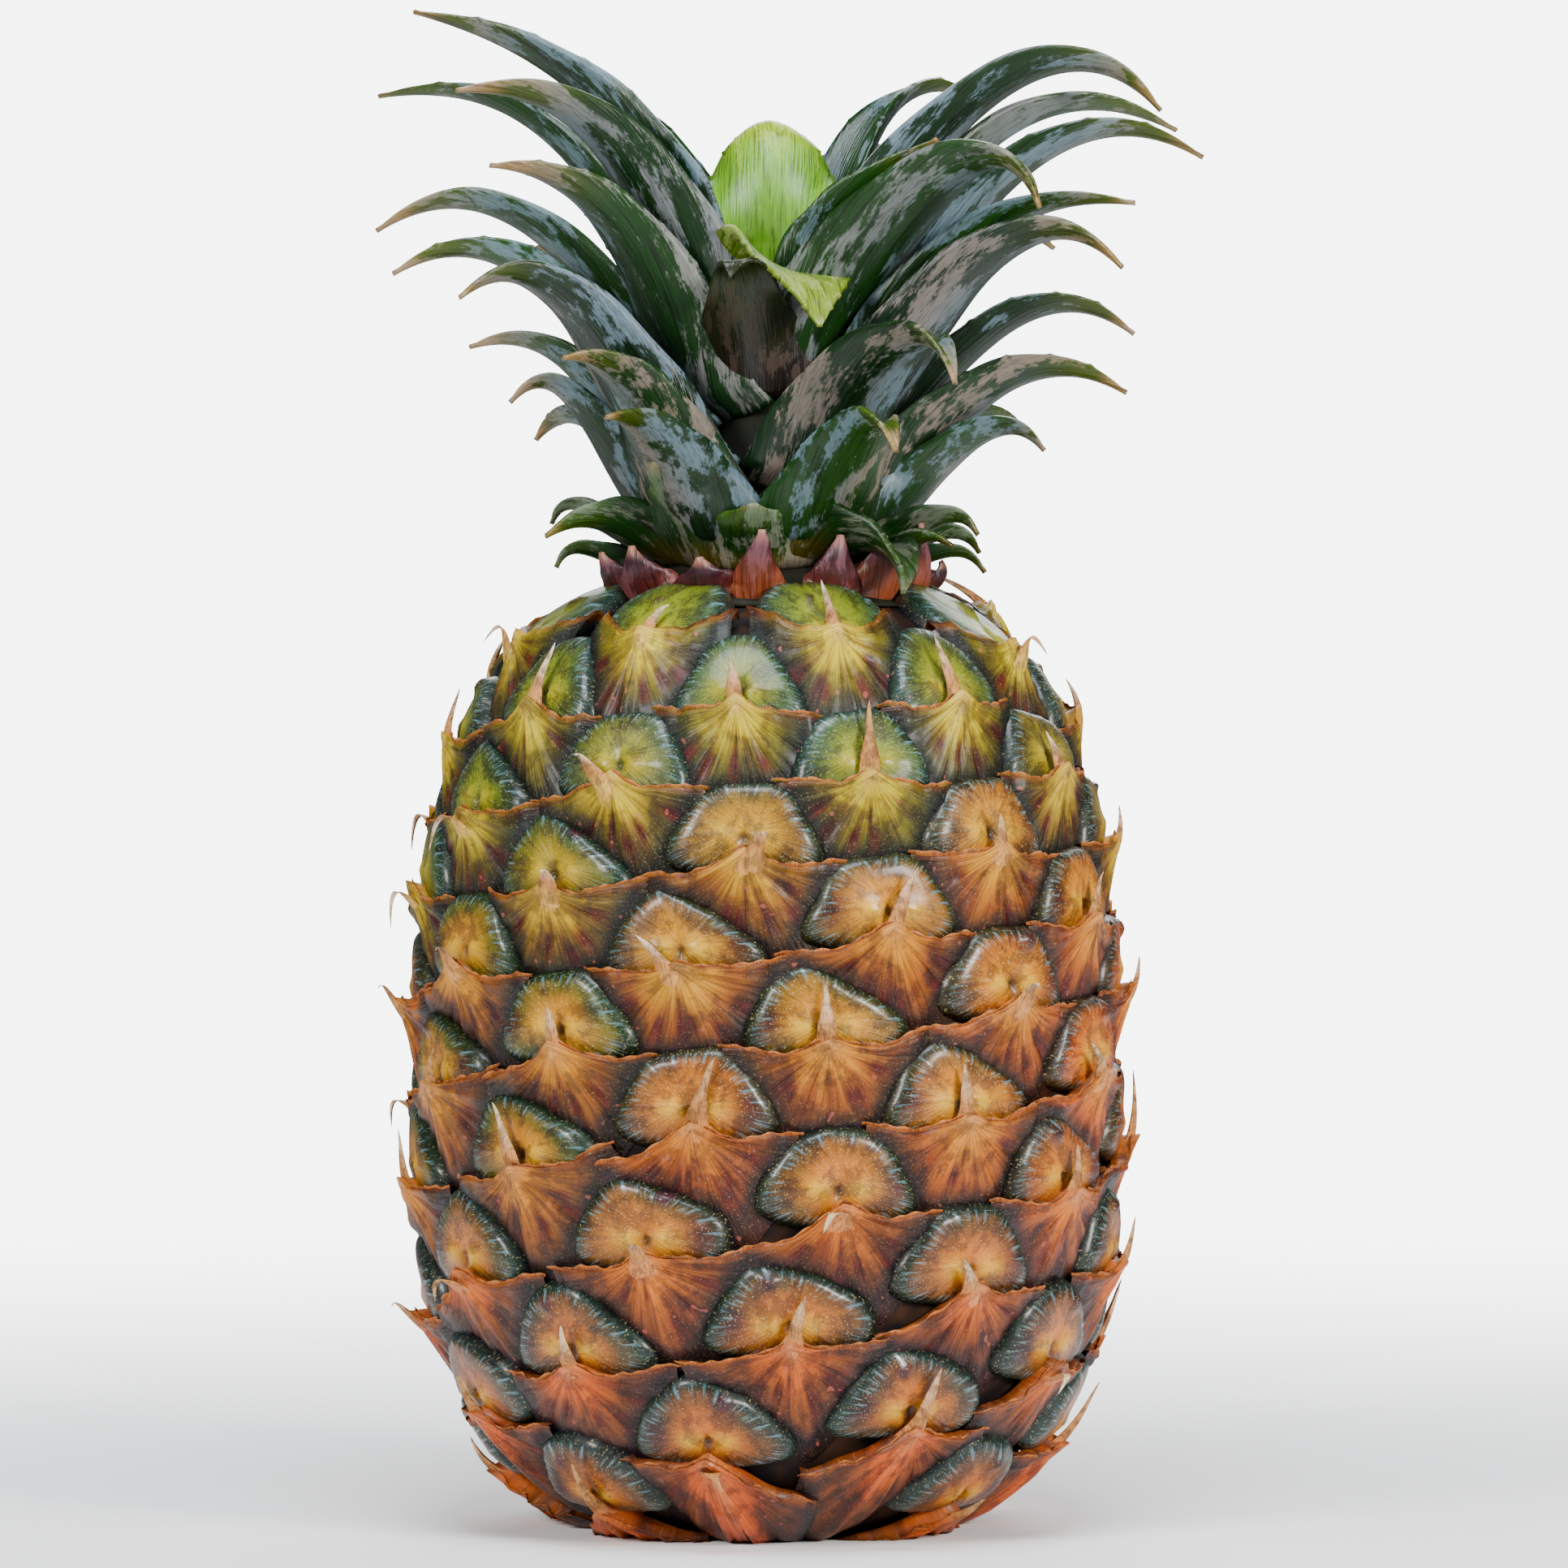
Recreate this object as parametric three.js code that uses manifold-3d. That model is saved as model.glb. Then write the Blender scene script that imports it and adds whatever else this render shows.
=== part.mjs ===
// A whole pineapple, standing on its flat base: the fruit with its spiral of raised eyes,
// the cut stem under it, the crown's own short stem, and the leaves of the crown.
// Millimetres, +Z up. The origin is the centre of the flat base, and -Y is the front.
// Azimuths are in degrees, 0 towards the front and 90 towards +X.
import * as THREE from 'three';
import { mergeVertices } from 'three/addons/utils/BufferGeometryUtils.js';
import Module from 'manifold-3d';

const wasm = await Module();
wasm.setup();

// Driving dimensions of the fruit
const GAP = 0.35;
const WELD = 1e-3;
const BODY_RADIUS = 56.6;
const WIDEST_HEIGHT = 68;
const UPPER_REACH = 89.5;
const UPPER_ROUNDNESS = 3;
const LOWER_REACH = 71;
const LOWER_ROUNDNESS = 2.6;
const FRUIT_TOP = 154;
const SHOULDER_TOP = 158;
const SEAT_RADIUS = 26;
const ROD_SIDES = 24;
const SLAB_WIDTH = 200;
const SLAB_DEPTH = 40;
const CUT_MARGIN = 1;
const OUTLINE_DIVISIONS = 2000;
const HALVINGS = 40;
const SAME_PLACE = 1e-6;

// The eyes sit on eight spiral rows, each of which drops by one row pitch in an eighth of a turn
const SPIRAL_ROWS = 8;
const EYE_STEP = 23;
const ROW_PHASES = [17.6, 19.6, 9.4, 11.7, 3.8, 12.1, 5.0, 0.6];
const FIRST_TURN = -1.2;
const LAST_TURN = 5.4;
const FIRST_ROW_HEIGHT = 133.3;
const ROW_DROP = 21.4;
const ROW_DROP_GROWTH = 0.62;
const SHOULDER_CROWDING = 2.55;
const ROW_PITCH = 25.6;
const HIGHEST_EYE = 151;
const LOWEST_EYE = 5.5;
const FIELD_REACH = 3 * ROW_PITCH;

// One eye: a raised shield over a bract whose free edge carries a spine
const SHIELD_EDGE_RISE = 2.7;
const SHIELD_SHOULDER_RISE = 2.9;
const SHIELD_TOP_RISE = 3.8;
const SHIELD_INSET = 0.17;
const BRACT_EDGE_RISE = 4.6;
const BRACT_SHOULDER_RISE = 4.1;
const BRACT_MIDDLE_RISE = 3.4;
const BRACT_FOOT_RISE = 1.4;
const BRACT_INSET = 0.2;
const PATCH_MIDDLE = 0.42;
const EDGE_SHARE = 0.6;
const EDGE_ARCH = 0.5;
const SIDE_BULGE = 0.09;
const SPINE_HALF_WIDTH = 2.1;
const SPINE_LENGTH = 8.5;
const SPINE_RISE = 5.2;
const SPINE_LEAN = 4;
const SPINE_LIFT = 3.6;
const LEAN_SEED = 1;
const LIFT_SEED = 501;

// Stems
const CUT_STEM_RADIUS = 14;
const CUT_STEM_DEPTH = 9;
const CROWN_STEM_RADIUS = 17;
const CROWN_STEM_TIP_RADIUS = 4.5;
const CROWN_STEM_TOP = 208;
const CROWN_STEM_DOME = 2.25;
const CROWN_STEM_SIDES = 20;
const COLLAR_RADIUS = 24;
const COLLAR_HEIGHT = 5;

// Leaves
const LEAF_THICKNESS = 1.5;
const ROOT_GAP = LEAF_THICKNESS + GAP;
const LEAF_EDGE_THICKNESS = 0.7;
const LEAF_THINNING = 0.5;
const LEAF_ROOT_CHANNEL = 0.42;
const LEAF_CHANNEL = 0.52;
const LEAF_TWIST = 28;
const LEAF_PULL = 0.42;
const KEEL = 1;
const BOTH_FACES_ALIKE = [1, 4];
const LEAF_TAPER = 0.85;
const LEAF_ROOT_WIDTH = 0.6;
const LEAF_WIDEST = 0.28;
const LEAF_STATIONS = 7;
const LEAF_TIP_WIDTH = 0.9;

// The crown's large leaves, innermost first:
// azimuth, root height, reach of the tip from the axis, height of the tip,
// slope at the root, slope at the tip, greatest width
const LEAVES = [
  [180, 203, 26, 231, 86, -50, 22],
  [60, 204, 32, 232, 78, 30, 11],
  [12, 201, 24, 205.5, 80, -82, 16],
  [-105, 200, 62, 255, 68, 14, 20],
  [95, 198, 67, 238, 66, -48, 18],
  [144, 192, 58, 243, 68, -10, 18],
  [-142, 193, 60, 240, 66, -12, 18],
  [-72, 192.5, 54, 240, 70, -4, 20],
  [52, 190.5, 57, 219, 72, -66, 20],
  [-112, 189, 72, 242, 61, -8, 15],
  [108, 190.5, 74, 236, 62, -26, 15],
  [88, 184, 73, 229, 59, -32, 15],
  [-12, 188, 25, 208, 78, -84, 17],
  [160, 187, 60, 230, 64, -26, 18],
  [-66, 185, 50, 227, 65, 0, 18],
  [-165, 183, 62, 222, 62, -28, 18],
  [72, 182, 64, 221, 58, -6, 15],
  [-98, 182, 67, 218, 58, -34, 15],
  [128, 181, 62, 216, 58, -30, 16],
  [-130, 177, 60, 211, 56, -30, 17],
  [64, 177, 65, 210, 57, -44, 17],
  [-84, 177, 63, 210, 54, -30, 15],
  [94, 173.5, 62, 200, 49, -36, 14],
  [178, 175, 58, 204, 56, -34, 17],
  [32, 173, 58, 190, 58, -60, 18],
  [-60, 173, 58, 205, 50, -36, 17],
  [148, 171, 56, 196, 50, -36, 16],
  [-148, 170, 56, 194, 50, -36, 16],
  [-100, 169, 51, 198, 50, -14, 14],
  [80, 167, 61, 190, 50, -32, 15],
  [-44, 167, 47, 195, 50, -4, 17],
  [116, 166, 50, 183, 46, -40, 14],
  [-124, 164.5, 48, 183, 44, -42, 14],
  [-84, 164, 43, 188, 50, -48, 12],
  [26, 163.5, 49, 179, 46, -60, 16],
  [-34, 163.5, 46, 185, 46, -4, 17],
  [80, 163.5, 47, 180, 44, -52, 13],
  [168, 163.5, 46, 182, 46, -44, 15],
];

// Small leaves and scales round the crown's foot, one body with its stem:
// how many, root height, reach, tip height, slope at the root and tip, width, first azimuth
const FOOT_RINGS = [
  [8, 160, 35, 166, 22, -60, 9, -80],
  [8, 159.4, 34, 162.8, 10, -50, 12, -58],
  [12, 157, 25, 164, 62, 84, 8, -90],
];
const FOOT_STATIONS = 4;
const FOOT_SUNK = 1.5;

// The outline of the fruit under its eyes, from the foot to the top: radius at a height.
function bodyRadius(z) {
  const above = z > WIDEST_HEIGHT;
  const share = Math.abs(z - WIDEST_HEIGHT) / (above ? UPPER_REACH : LOWER_REACH);
  const roundness = above ? UPPER_ROUNDNESS : LOWER_ROUNDNESS;
  return BODY_RADIUS * Math.pow(Math.max(0, 1 - Math.pow(share, roundness)), 1 / roundness);
}

const PROFILE_POINTS = 240;
const PROFILE_FOOT = -2.9;
const PROFILE_HEAD = 157.4;

// The outline as a curve, so that a place on it can be given by its length along the curve.
const outline = new THREE.CatmullRomCurve3(
  Array.from({ length: PROFILE_POINTS + 1 }, (_, i) => {
    const turn = (Math.PI * i) / PROFILE_POINTS;
    const z = (PROFILE_HEAD + PROFILE_FOOT) / 2 - ((PROFILE_HEAD - PROFILE_FOOT) / 2) * Math.cos(turn);
    return new THREE.Vector3(bodyRadius(z), 0, z);
  }),
);
outline.arcLengthDivisions = OUTLINE_DIVISIONS;
const outlineLength = outline.getLength();

function lengthAtHeight(z) {
  let low = 0;
  let high = 1;
  for (let i = 0; i < HALVINGS; i++) {
    const middle = (low + high) / 2;
    if (outline.getPointAt(middle).z < z) low = middle;
    else high = middle;
  }
  return low * outlineLength;
}

const radians = THREE.MathUtils.degToRad;
const outward = (azimuth) => new THREE.Vector3(Math.sin(azimuth), -Math.cos(azimuth), 0);

// A point of the rind, from its azimuth in radians, its length along the outline
// and how far it stands out from the body.
function onRind(azimuth, length, rise) {
  const share = THREE.MathUtils.clamp(length / outlineLength, 0, 1);
  const point = outline.getPointAt(share);
  const along = outline.getTangentAt(share);
  const out = outward(azimuth);
  return out
    .clone()
    .multiplyScalar(point.x + along.z * rise)
    .setZ(point.z - along.x * rise);
}

// A closed solid through rings of points, each ring seen turning left from the last one.
// Each side is split along a diagonal, and the sides alike on both faces along the other one.
// The two ends are closed from the keel, which sees the whole hollow section.
function loft(rings) {
  const count = rings[0].length;
  const points = rings.flat();
  const faces = [];
  for (let r = 0; r + 1 < rings.length; r++) {
    for (let i = 0; i < count; i++) {
      const a = r * count + i;
      const b = r * count + ((i + 1) % count);
      if (BOTH_FACES_ALIKE.includes(i)) faces.push(a, b, a + count, b, b + count, a + count);
      else faces.push(a, b, b + count, a, b + count, a + count);
    }
  }
  const last = (rings.length - 1) * count;
  for (let i = 1; i + 1 < count; i++) {
    const here = (KEEL + i) % count;
    const next = (KEEL + i + 1) % count;
    faces.push(KEEL, next, here, last + KEEL, last + here, last + next);
  }
  return new THREE.BufferGeometry().setFromPoints(points).setIndex(faces);
}

function toSolid(geometry) {
  const bare = geometry.clone();
  bare.deleteAttribute('normal');
  bare.deleteAttribute('uv');
  const merged = mergeVertices(bare, WELD);
  return new wasm.Manifold(
    new wasm.Mesh({
      numProp: 3,
      vertProperties: new Float32Array(merged.attributes.position.array),
      triVerts: new Uint32Array(merged.index.array),
    }),
  );
}

const mainBody = (solid) => solid.decompose().sort((a, b) => b.volume() - a.volume())[0];

function toGeometry(solid) {
  const mesh = solid.getMesh();
  const geometry = new THREE.BufferGeometry();
  geometry.setAttribute('position', new THREE.BufferAttribute(mesh.vertProperties, 3));
  geometry.setIndex(new THREE.BufferAttribute(mesh.triVerts, 1));
  geometry.computeVertexNormals();
  return geometry;
}

// The rind unrolled: right of the front along the widest circle, and up along the outline.
const unrolledTurn = 2 * Math.PI * BODY_RADIUS;

// The places of all the eyes on the unrolled rind, each at the middle of its bract's free edge.
function eyePlaces() {
  const heightOfRow = (row) =>
    FIRST_ROW_HEIGHT - ROW_DROP * row - ROW_DROP_GROWTH * row * row - SHOULDER_CROWDING * Math.min(row, 0) ** 2;
  const eighth = 360 / SPIRAL_ROWS;
  const places = [];
  ROW_PHASES.forEach((phase, index) => {
    const first = Math.ceil(((FIRST_TURN - index) * eighth - phase) / EYE_STEP);
    const last = Math.floor(((LAST_TURN - index) * eighth - phase) / EYE_STEP);
    for (let i = first; i <= last; i++) {
      const azimuth = phase + EYE_STEP * i;
      const height = heightOfRow(index + azimuth / eighth);
      if (height > HIGHEST_EYE || height < LOWEST_EYE) continue;
      const turn = THREE.MathUtils.euclideanModulo(azimuth, 360);
      places.push(new THREE.Vector2(radians(turn) * BODY_RADIUS, lengthAtHeight(height)));
    }
  });
  return places;
}

// The part of a polygon that lies nearer to one eye than to another.
// Each corner also knows which neighbour the side after it belongs to.
function keepNearer(polygon, site, other) {
  const middle = site.clone().add(other).multiplyScalar(0.5);
  const towards = other.clone().sub(site);
  const beyond = (corner) => corner.place.clone().sub(middle).dot(towards);
  const kept = [];
  polygon.forEach((corner, i) => {
    const next = polygon[(i + 1) % polygon.length];
    const here = beyond(corner);
    const there = beyond(next);
    const crossing = () => corner.place.clone().lerp(next.place, here / (here - there));
    if (here <= 0) kept.push(corner);
    if (here <= 0 && there > 0) kept.push({ place: crossing(), neighbour: other });
    if (here > 0 && there <= 0) kept.push({ place: crossing(), neighbour: corner.neighbour });
  });
  return kept;
}

// The field of one eye: its share of the rind, with the middle of each side pushed away
// from the eye below that side, so that shields are round and bracts are hollow-sided.
function eyeField(site, sites) {
  let polygon = [
    [-FIELD_REACH, 0],
    [FIELD_REACH, 0],
    [FIELD_REACH, outlineLength],
    [-FIELD_REACH, outlineLength],
  ].map(([right, up]) => ({ place: new THREE.Vector2(site.x + right, up), neighbour: null }));
  for (const other of sites) {
    for (const turns of [-1, 0, 1]) {
      const image = other.clone().setX(other.x + turns * unrolledTurn);
      const distance = image.distanceTo(site);
      if (distance > WELD && distance < 2 * FIELD_REACH) polygon = keepNearer(polygon, site, image);
    }
  }
  return polygon.flatMap((corner, i) => {
    const next = polygon[(i + 1) % polygon.length];
    const middle = corner.place.clone().add(next.place).multiplyScalar(0.5);
    if (corner.neighbour) {
      const upward = corner.neighbour.clone().sub(site);
      upward.multiplyScalar((upward.y < 0 ? -1 : 1) / upward.length());
      middle.addScaledVector(upward, SIDE_BULGE * corner.place.distanceTo(next.place));
    }
    return [
      { place: corner.place, corner: true },
      { place: middle, corner: false },
    ];
  });
}

// A patch of skin: a ring of points, a smaller ring inside it and a middle point.
function patch(faces, ring, middle, inset, riseAt) {
  const inner = ring.map((point) => {
    const place = point.place.clone().lerp(middle.place, inset);
    return { place, rise: riseAt(place) };
  });
  ring.forEach((point, i) => {
    const j = (i + 1) % ring.length;
    faces.push([point, ring[j], inner[j]], [point, inner[j], inner[i]], [inner[i], inner[j], middle]);
  });
}

// The step of a bract's free edge, from the left corner to the right one,
// with a spine that stands out of its middle.
function edgeStep(faces, left, right, lip, under, tip) {
  const last = lip.length - 1;
  faces.push([left, lip[0], under[0]], [lip[last], right, under[last]]);
  for (let i = 0; i < last; i++) {
    if (i === (last - 1) / 2) {
      faces.push([lip[i], lip[i + 1], tip], [lip[i + 1], under[i + 1], tip]);
      faces.push([under[i + 1], under[i], tip], [under[i], lip[i], tip]);
    } else {
      faces.push([lip[i], lip[i + 1], under[i + 1]], [lip[i], under[i + 1], under[i]]);
    }
  }
}

// The skin of one eye: a domed shield above, a wedge-shaped bract below,
// and between them the step of the bract's free edge.
function eyeSkin(faces, site, sites, tip) {
  const field = eyeField(site, sites);
  const corners = field.filter((point) => point.corner);
  const rightmost = field.indexOf(corners.reduce((a, b) => (b.place.x > a.place.x ? b : a)));
  const ordered = [...field.slice(rightmost), ...field.slice(0, rightmost)].map((point) => ({
    place: point.place,
    rise: 0,
    corner: point.corner,
  }));
  const leftmost = ordered.reduce(
    (best, point, i) => (point.corner && point.place.x < ordered[best].place.x ? i : best),
    0,
  );
  const upper = ordered.slice(0, leftmost + 1);
  const lower = [...ordered.slice(leftmost), ordered[0]];
  const [right, left] = [upper[0], upper[upper.length - 1]];
  const top = Math.max(...upper.map((point) => point.place.y));
  const foot = Math.min(...lower.map((point) => point.place.y));
  const alongEdge = (shoulderRise, middleRise) => [
    { place: site.clone().lerp(left.place, EDGE_SHARE), rise: shoulderRise },
    { place: site.clone().add(new THREE.Vector2(-SPINE_HALF_WIDTH, EDGE_ARCH)), rise: middleRise },
    { place: site.clone().add(new THREE.Vector2(SPINE_HALF_WIDTH, EDGE_ARCH)), rise: middleRise },
    { place: site.clone().lerp(right.place, EDGE_SHARE), rise: shoulderRise },
  ];
  const under = alongEdge(SHIELD_EDGE_RISE, SHIELD_EDGE_RISE);
  const lip = alongEdge(BRACT_SHOULDER_RISE, BRACT_EDGE_RISE);
  const shieldMiddle = { place: new THREE.Vector2(site.x, site.y + (top - site.y) * PATCH_MIDDLE), rise: SHIELD_TOP_RISE };
  const bractMiddle = { place: new THREE.Vector2(site.x, site.y + (foot - site.y) * PATCH_MIDDLE), rise: BRACT_MIDDLE_RISE };
  patch(faces, [...upper, ...under], shieldMiddle, SHIELD_INSET, () => SHIELD_SHOULDER_RISE);
  patch(faces, [...lower, ...lip.toReversed()], bractMiddle, BRACT_INSET, (place) => {
    const share = THREE.MathUtils.clamp((site.y - place.y) / (site.y - foot), 0, 1);
    return THREE.MathUtils.lerp(BRACT_SHOULDER_RISE, BRACT_FOOT_RISE, share);
  });
  edgeStep(faces, left, right, lip, under, tip);
  // Where the field ends at the foot or the head of the fruit, the skin closes to the axis.
  field.forEach((point, i) => {
    const next = field[(i + 1) % field.length];
    for (const end of [0, outlineLength]) {
      if (Math.abs(point.place.y - end) < SAME_PLACE && Math.abs(next.place.y - end) < SAME_PLACE) {
        faces.push([{ place: next.place, rise: 0 }, { place: point.place, rise: 0 }, { axis: end }]);
      }
    }
  });
}

// The spines each lean their own way and stand out by their own height.
function skin(sites) {
  const faces = [];
  sites.forEach((site, index) => {
    const lean = THREE.MathUtils.lerp(-SPINE_LEAN, SPINE_LEAN, THREE.MathUtils.seededRandom(index + LEAN_SEED));
    const lift = THREE.MathUtils.seededRandom(index + LIFT_SEED) * SPINE_LIFT;
    const tip = { place: site.clone().add(new THREE.Vector2(lean, SPINE_LENGTH)), rise: SPINE_RISE + lift };
    eyeSkin(faces, site, sites, tip);
  });
  const points = faces.flat().map((point) => {
    if ('axis' in point) return new THREE.Vector3(0, 0, outline.getPointAt(point.axis / outlineLength).z);
    return onRind(point.place.x / BODY_RADIUS, point.place.y, point.rise);
  });
  return toSolid(new THREE.BufferGeometry().setFromPoints(points));
}

function fruit() {
  const slab = (z) => toSolid(new THREE.BoxGeometry(SLAB_WIDTH, SLAB_WIDTH, SLAB_DEPTH).translate(0, 0, z));
  const under = slab(-SLAB_DEPTH / 2);
  const over = slab(SHOULDER_TOP + SLAB_DEPTH / 2);
  const seat = rod(SEAT_RADIUS, FRUIT_TOP, SHOULDER_TOP + CUT_MARGIN);
  const socket = rod(CUT_STEM_RADIUS + GAP, -CUT_MARGIN, CUT_STEM_DEPTH + GAP);
  return mainBody(
    skin(eyePlaces()).subtract(wasm.Manifold.union([under, over, seat, socket])),
  );
}

// An upright round solid between two heights.
function rod(radius, low, high) {
  const geometry = new THREE.CylinderGeometry(radius, radius, high - low, ROD_SIDES);
  return toSolid(geometry.rotateX(Math.PI / 2).translate(0, 0, (low + high) / 2));
}

const cutStem = () => rod(CUT_STEM_RADIUS, 0, CUT_STEM_DEPTH);

function crownStemRadius(z) {
  const foot = FRUIT_TOP + COLLAR_HEIGHT;
  const share = THREE.MathUtils.clamp((z - foot) / (CROWN_STEM_TOP - foot), 0, 1);
  return THREE.MathUtils.lerp(CROWN_STEM_RADIUS, CROWN_STEM_TIP_RADIUS, share);
}

// How wide a leaf is along its length, as a share of its greatest width.
function widthAlong(share) {
  if (share < LEAF_WIDEST) {
    return THREE.MathUtils.lerp(LEAF_ROOT_WIDTH, 1, Math.sin((share / LEAF_WIDEST) * (Math.PI / 2)));
  }
  return Math.pow((1 - share) / (1 - LEAF_WIDEST), LEAF_TAPER);
}

// A leaf is a keeled blade along a curve that rises from the stem and arches out and down.
// Leaves at the sides turn their outer faces towards the front.
function blade([azimuth, root, reach, tipHeight, rise, fall, width], gap, extra, stations) {
  const start = new THREE.Vector2(crownStemRadius(root) + gap, root);
  const end = new THREE.Vector2(reach, tipHeight);
  const pull = start.distanceTo(end) * LEAF_PULL;
  const bend = (point, slope, length) =>
    point.clone().add(new THREE.Vector2(Math.cos(radians(slope)), Math.sin(radians(slope))).multiplyScalar(length));
  const curve = new THREE.CubicBezierCurve(start, bend(start, rise, pull), bend(end, fall, -pull), end);
  const out = outward(radians(azimuth));
  const level = new THREE.Vector3(-out.y, out.x, 0);
  const fullTwist = -radians(LEAF_TWIST) * Math.sin(radians(azimuth));
  const rings = Array.from({ length: stations }, (_, i) => {
    const share = i / (stations - 1);
    const point = curve.getPoint(share);
    const along = curve.getTangent(share);
    const place = out.clone().multiplyScalar(point.x).setZ(point.y);
    const opening = Math.min(share / LEAF_WIDEST, 1);
    const above = out.clone().multiplyScalar(-along.y).setZ(along.x);
    const twist = fullTwist * opening;
    const side = level.clone().multiplyScalar(Math.cos(twist)).addScaledVector(above, Math.sin(twist));
    const inward = above.multiplyScalar(Math.cos(twist)).addScaledVector(level, -Math.sin(twist));
    const half = Math.max((width / 2) * widthAlong(share), LEAF_TIP_WIDTH / 2) + extra;
    const thick = (LEAF_THICKNESS * (1 - LEAF_THINNING * share)) / 2 + extra;
    const edge = LEAF_EDGE_THICKNESS / 2 + extra;
    const lift = half * THREE.MathUtils.lerp(LEAF_ROOT_CHANNEL, LEAF_CHANNEL, opening);
    const at = (across, up) =>
      place.clone().addScaledVector(side, across).addScaledVector(inward, up);
    return [
      at(-half, lift - edge),
      at(0, -thick),
      at(half, lift - edge),
      at(half, lift + edge),
      at(0, thick),
      at(-half, lift + edge),
    ];
  });
  return toSolid(loft(rings));
}

// The crown's stem with the small leaves of its foot, or the space that they need round them.
function crownStem(clearance) {
  const profile = [
    [0, FRUIT_TOP + GAP - clearance],
    [COLLAR_RADIUS + clearance, FRUIT_TOP + GAP - clearance],
    [CROWN_STEM_RADIUS + clearance, FRUIT_TOP + COLLAR_HEIGHT + clearance],
    [CROWN_STEM_TIP_RADIUS + clearance, CROWN_STEM_TOP + clearance],
    [0, CROWN_STEM_TOP + CROWN_STEM_DOME + clearance],
  ].map(([radius, height]) => new THREE.Vector2(radius, height));
  const core = new THREE.LatheGeometry(profile, CROWN_STEM_SIDES).rotateX(Math.PI / 2);
  const small = FOOT_RINGS.flatMap(([count, root, reach, tip, rise, fall, width, first]) =>
    Array.from({ length: count }, (_, i) =>
      blade([first + (360 / count) * i, root, reach, tip, rise, fall, width], -FOOT_SUNK, clearance, FOOT_STATIONS),
    ),
  );
  return wasm.Manifold.union([toSolid(core), ...small]);
}

// Where an outer leaf would cross an inner one it is cut back, with a gap between them.
function crownLeaves() {
  const spaces = [crownStem(GAP)];
  return LEAVES.map((leaf) => {
    const free = blade(leaf, ROOT_GAP, 0, LEAF_STATIONS).subtract(wasm.Manifold.union(spaces));
    spaces.push(blade(leaf, ROOT_GAP, GAP, LEAF_STATIONS));
    return mainBody(toSolid(toGeometry(mainBody(free))));
  });
}

const finish = (color, roughness) => new THREE.MeshStandardMaterial({ color, roughness, metalness: 0 });
const rindFinish = finish(0xb07a24, 0.45);
const leafFinish = finish(0x4f6b4a, 0.5);
const stemFinish = finish(0x7d4a45, 0.6);
const cutFinish = finish(0xb99a6a, 0.85);

const pineapple = new THREE.Group();

function add(name, solid, material) {
  const mesh = new THREE.Mesh(toGeometry(solid), material);
  mesh.name = name;
  pineapple.add(mesh);
}

add('fruit', fruit(), rindFinish);
add('cut_stem', cutStem(), cutFinish);
add('crown_stem', crownStem(0), stemFinish);
crownLeaves().forEach((leaf, index) => {
  add(`crown_leaf_${String(index + 1).padStart(2, '0')}`, leaf, leafFinish);
});

export default pineapple;
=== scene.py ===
# %% [markdown]
# A whole pineapple, standing upright on its base.
# The real thing is a stack of small fruits fused together. Each one shows as an eye: a domed
# shield, and under it a pointed leaf scale, the bract, whose free papery edge laps over the
# shield and ends in a spine. On top grows a short stem with a crown of stiff keeled leaves.
# We set up the tools here and load the solid model.

# %% Set up
import bpy
import math
import numpy as np
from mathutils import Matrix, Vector


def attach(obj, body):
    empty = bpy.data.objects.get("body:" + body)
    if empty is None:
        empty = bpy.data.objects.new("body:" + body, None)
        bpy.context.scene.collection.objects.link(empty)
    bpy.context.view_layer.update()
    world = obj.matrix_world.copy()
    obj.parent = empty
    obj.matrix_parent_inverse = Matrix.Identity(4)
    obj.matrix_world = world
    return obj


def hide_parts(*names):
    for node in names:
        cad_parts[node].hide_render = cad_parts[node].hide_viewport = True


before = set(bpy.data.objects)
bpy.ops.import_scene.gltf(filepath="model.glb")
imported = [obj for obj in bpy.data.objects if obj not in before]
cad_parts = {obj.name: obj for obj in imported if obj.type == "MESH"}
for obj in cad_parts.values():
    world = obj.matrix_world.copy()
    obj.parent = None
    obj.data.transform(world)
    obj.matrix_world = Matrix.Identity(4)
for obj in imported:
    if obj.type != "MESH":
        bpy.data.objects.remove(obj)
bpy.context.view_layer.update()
MM = 0.001

# %% [markdown]
# The camera comes first, because every later choice is judged through it. The photograph was
# taken nearly level, with the fruit filling the height of a square frame and little change of
# scale from front to back, so a long lens stands well back. The light is soft: the main lamp in
# front on the right, a weaker one on the left, a cool one above for the sheen and one behind.

# %% Camera and lights
def select_only(piece):
    bpy.ops.object.select_all(action='DESELECT')
    piece.select_set(True)
    bpy.context.view_layer.objects.active = piece


def aim(thing, target):
    direction = Vector(target) - thing.location
    thing.rotation_euler = direction.to_track_quat('-Z', 'Y').to_euler()


bpy.ops.object.camera_add(location=(0.0029, -1.318, 0.148))
camera = bpy.context.object
camera.name = "view"
camera.data.lens = 180
camera.data.sensor_width = 36
camera.data.clip_start = 0.01
aim(camera, (0.0029, 0, 0.1243))
bpy.context.scene.camera = camera

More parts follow.
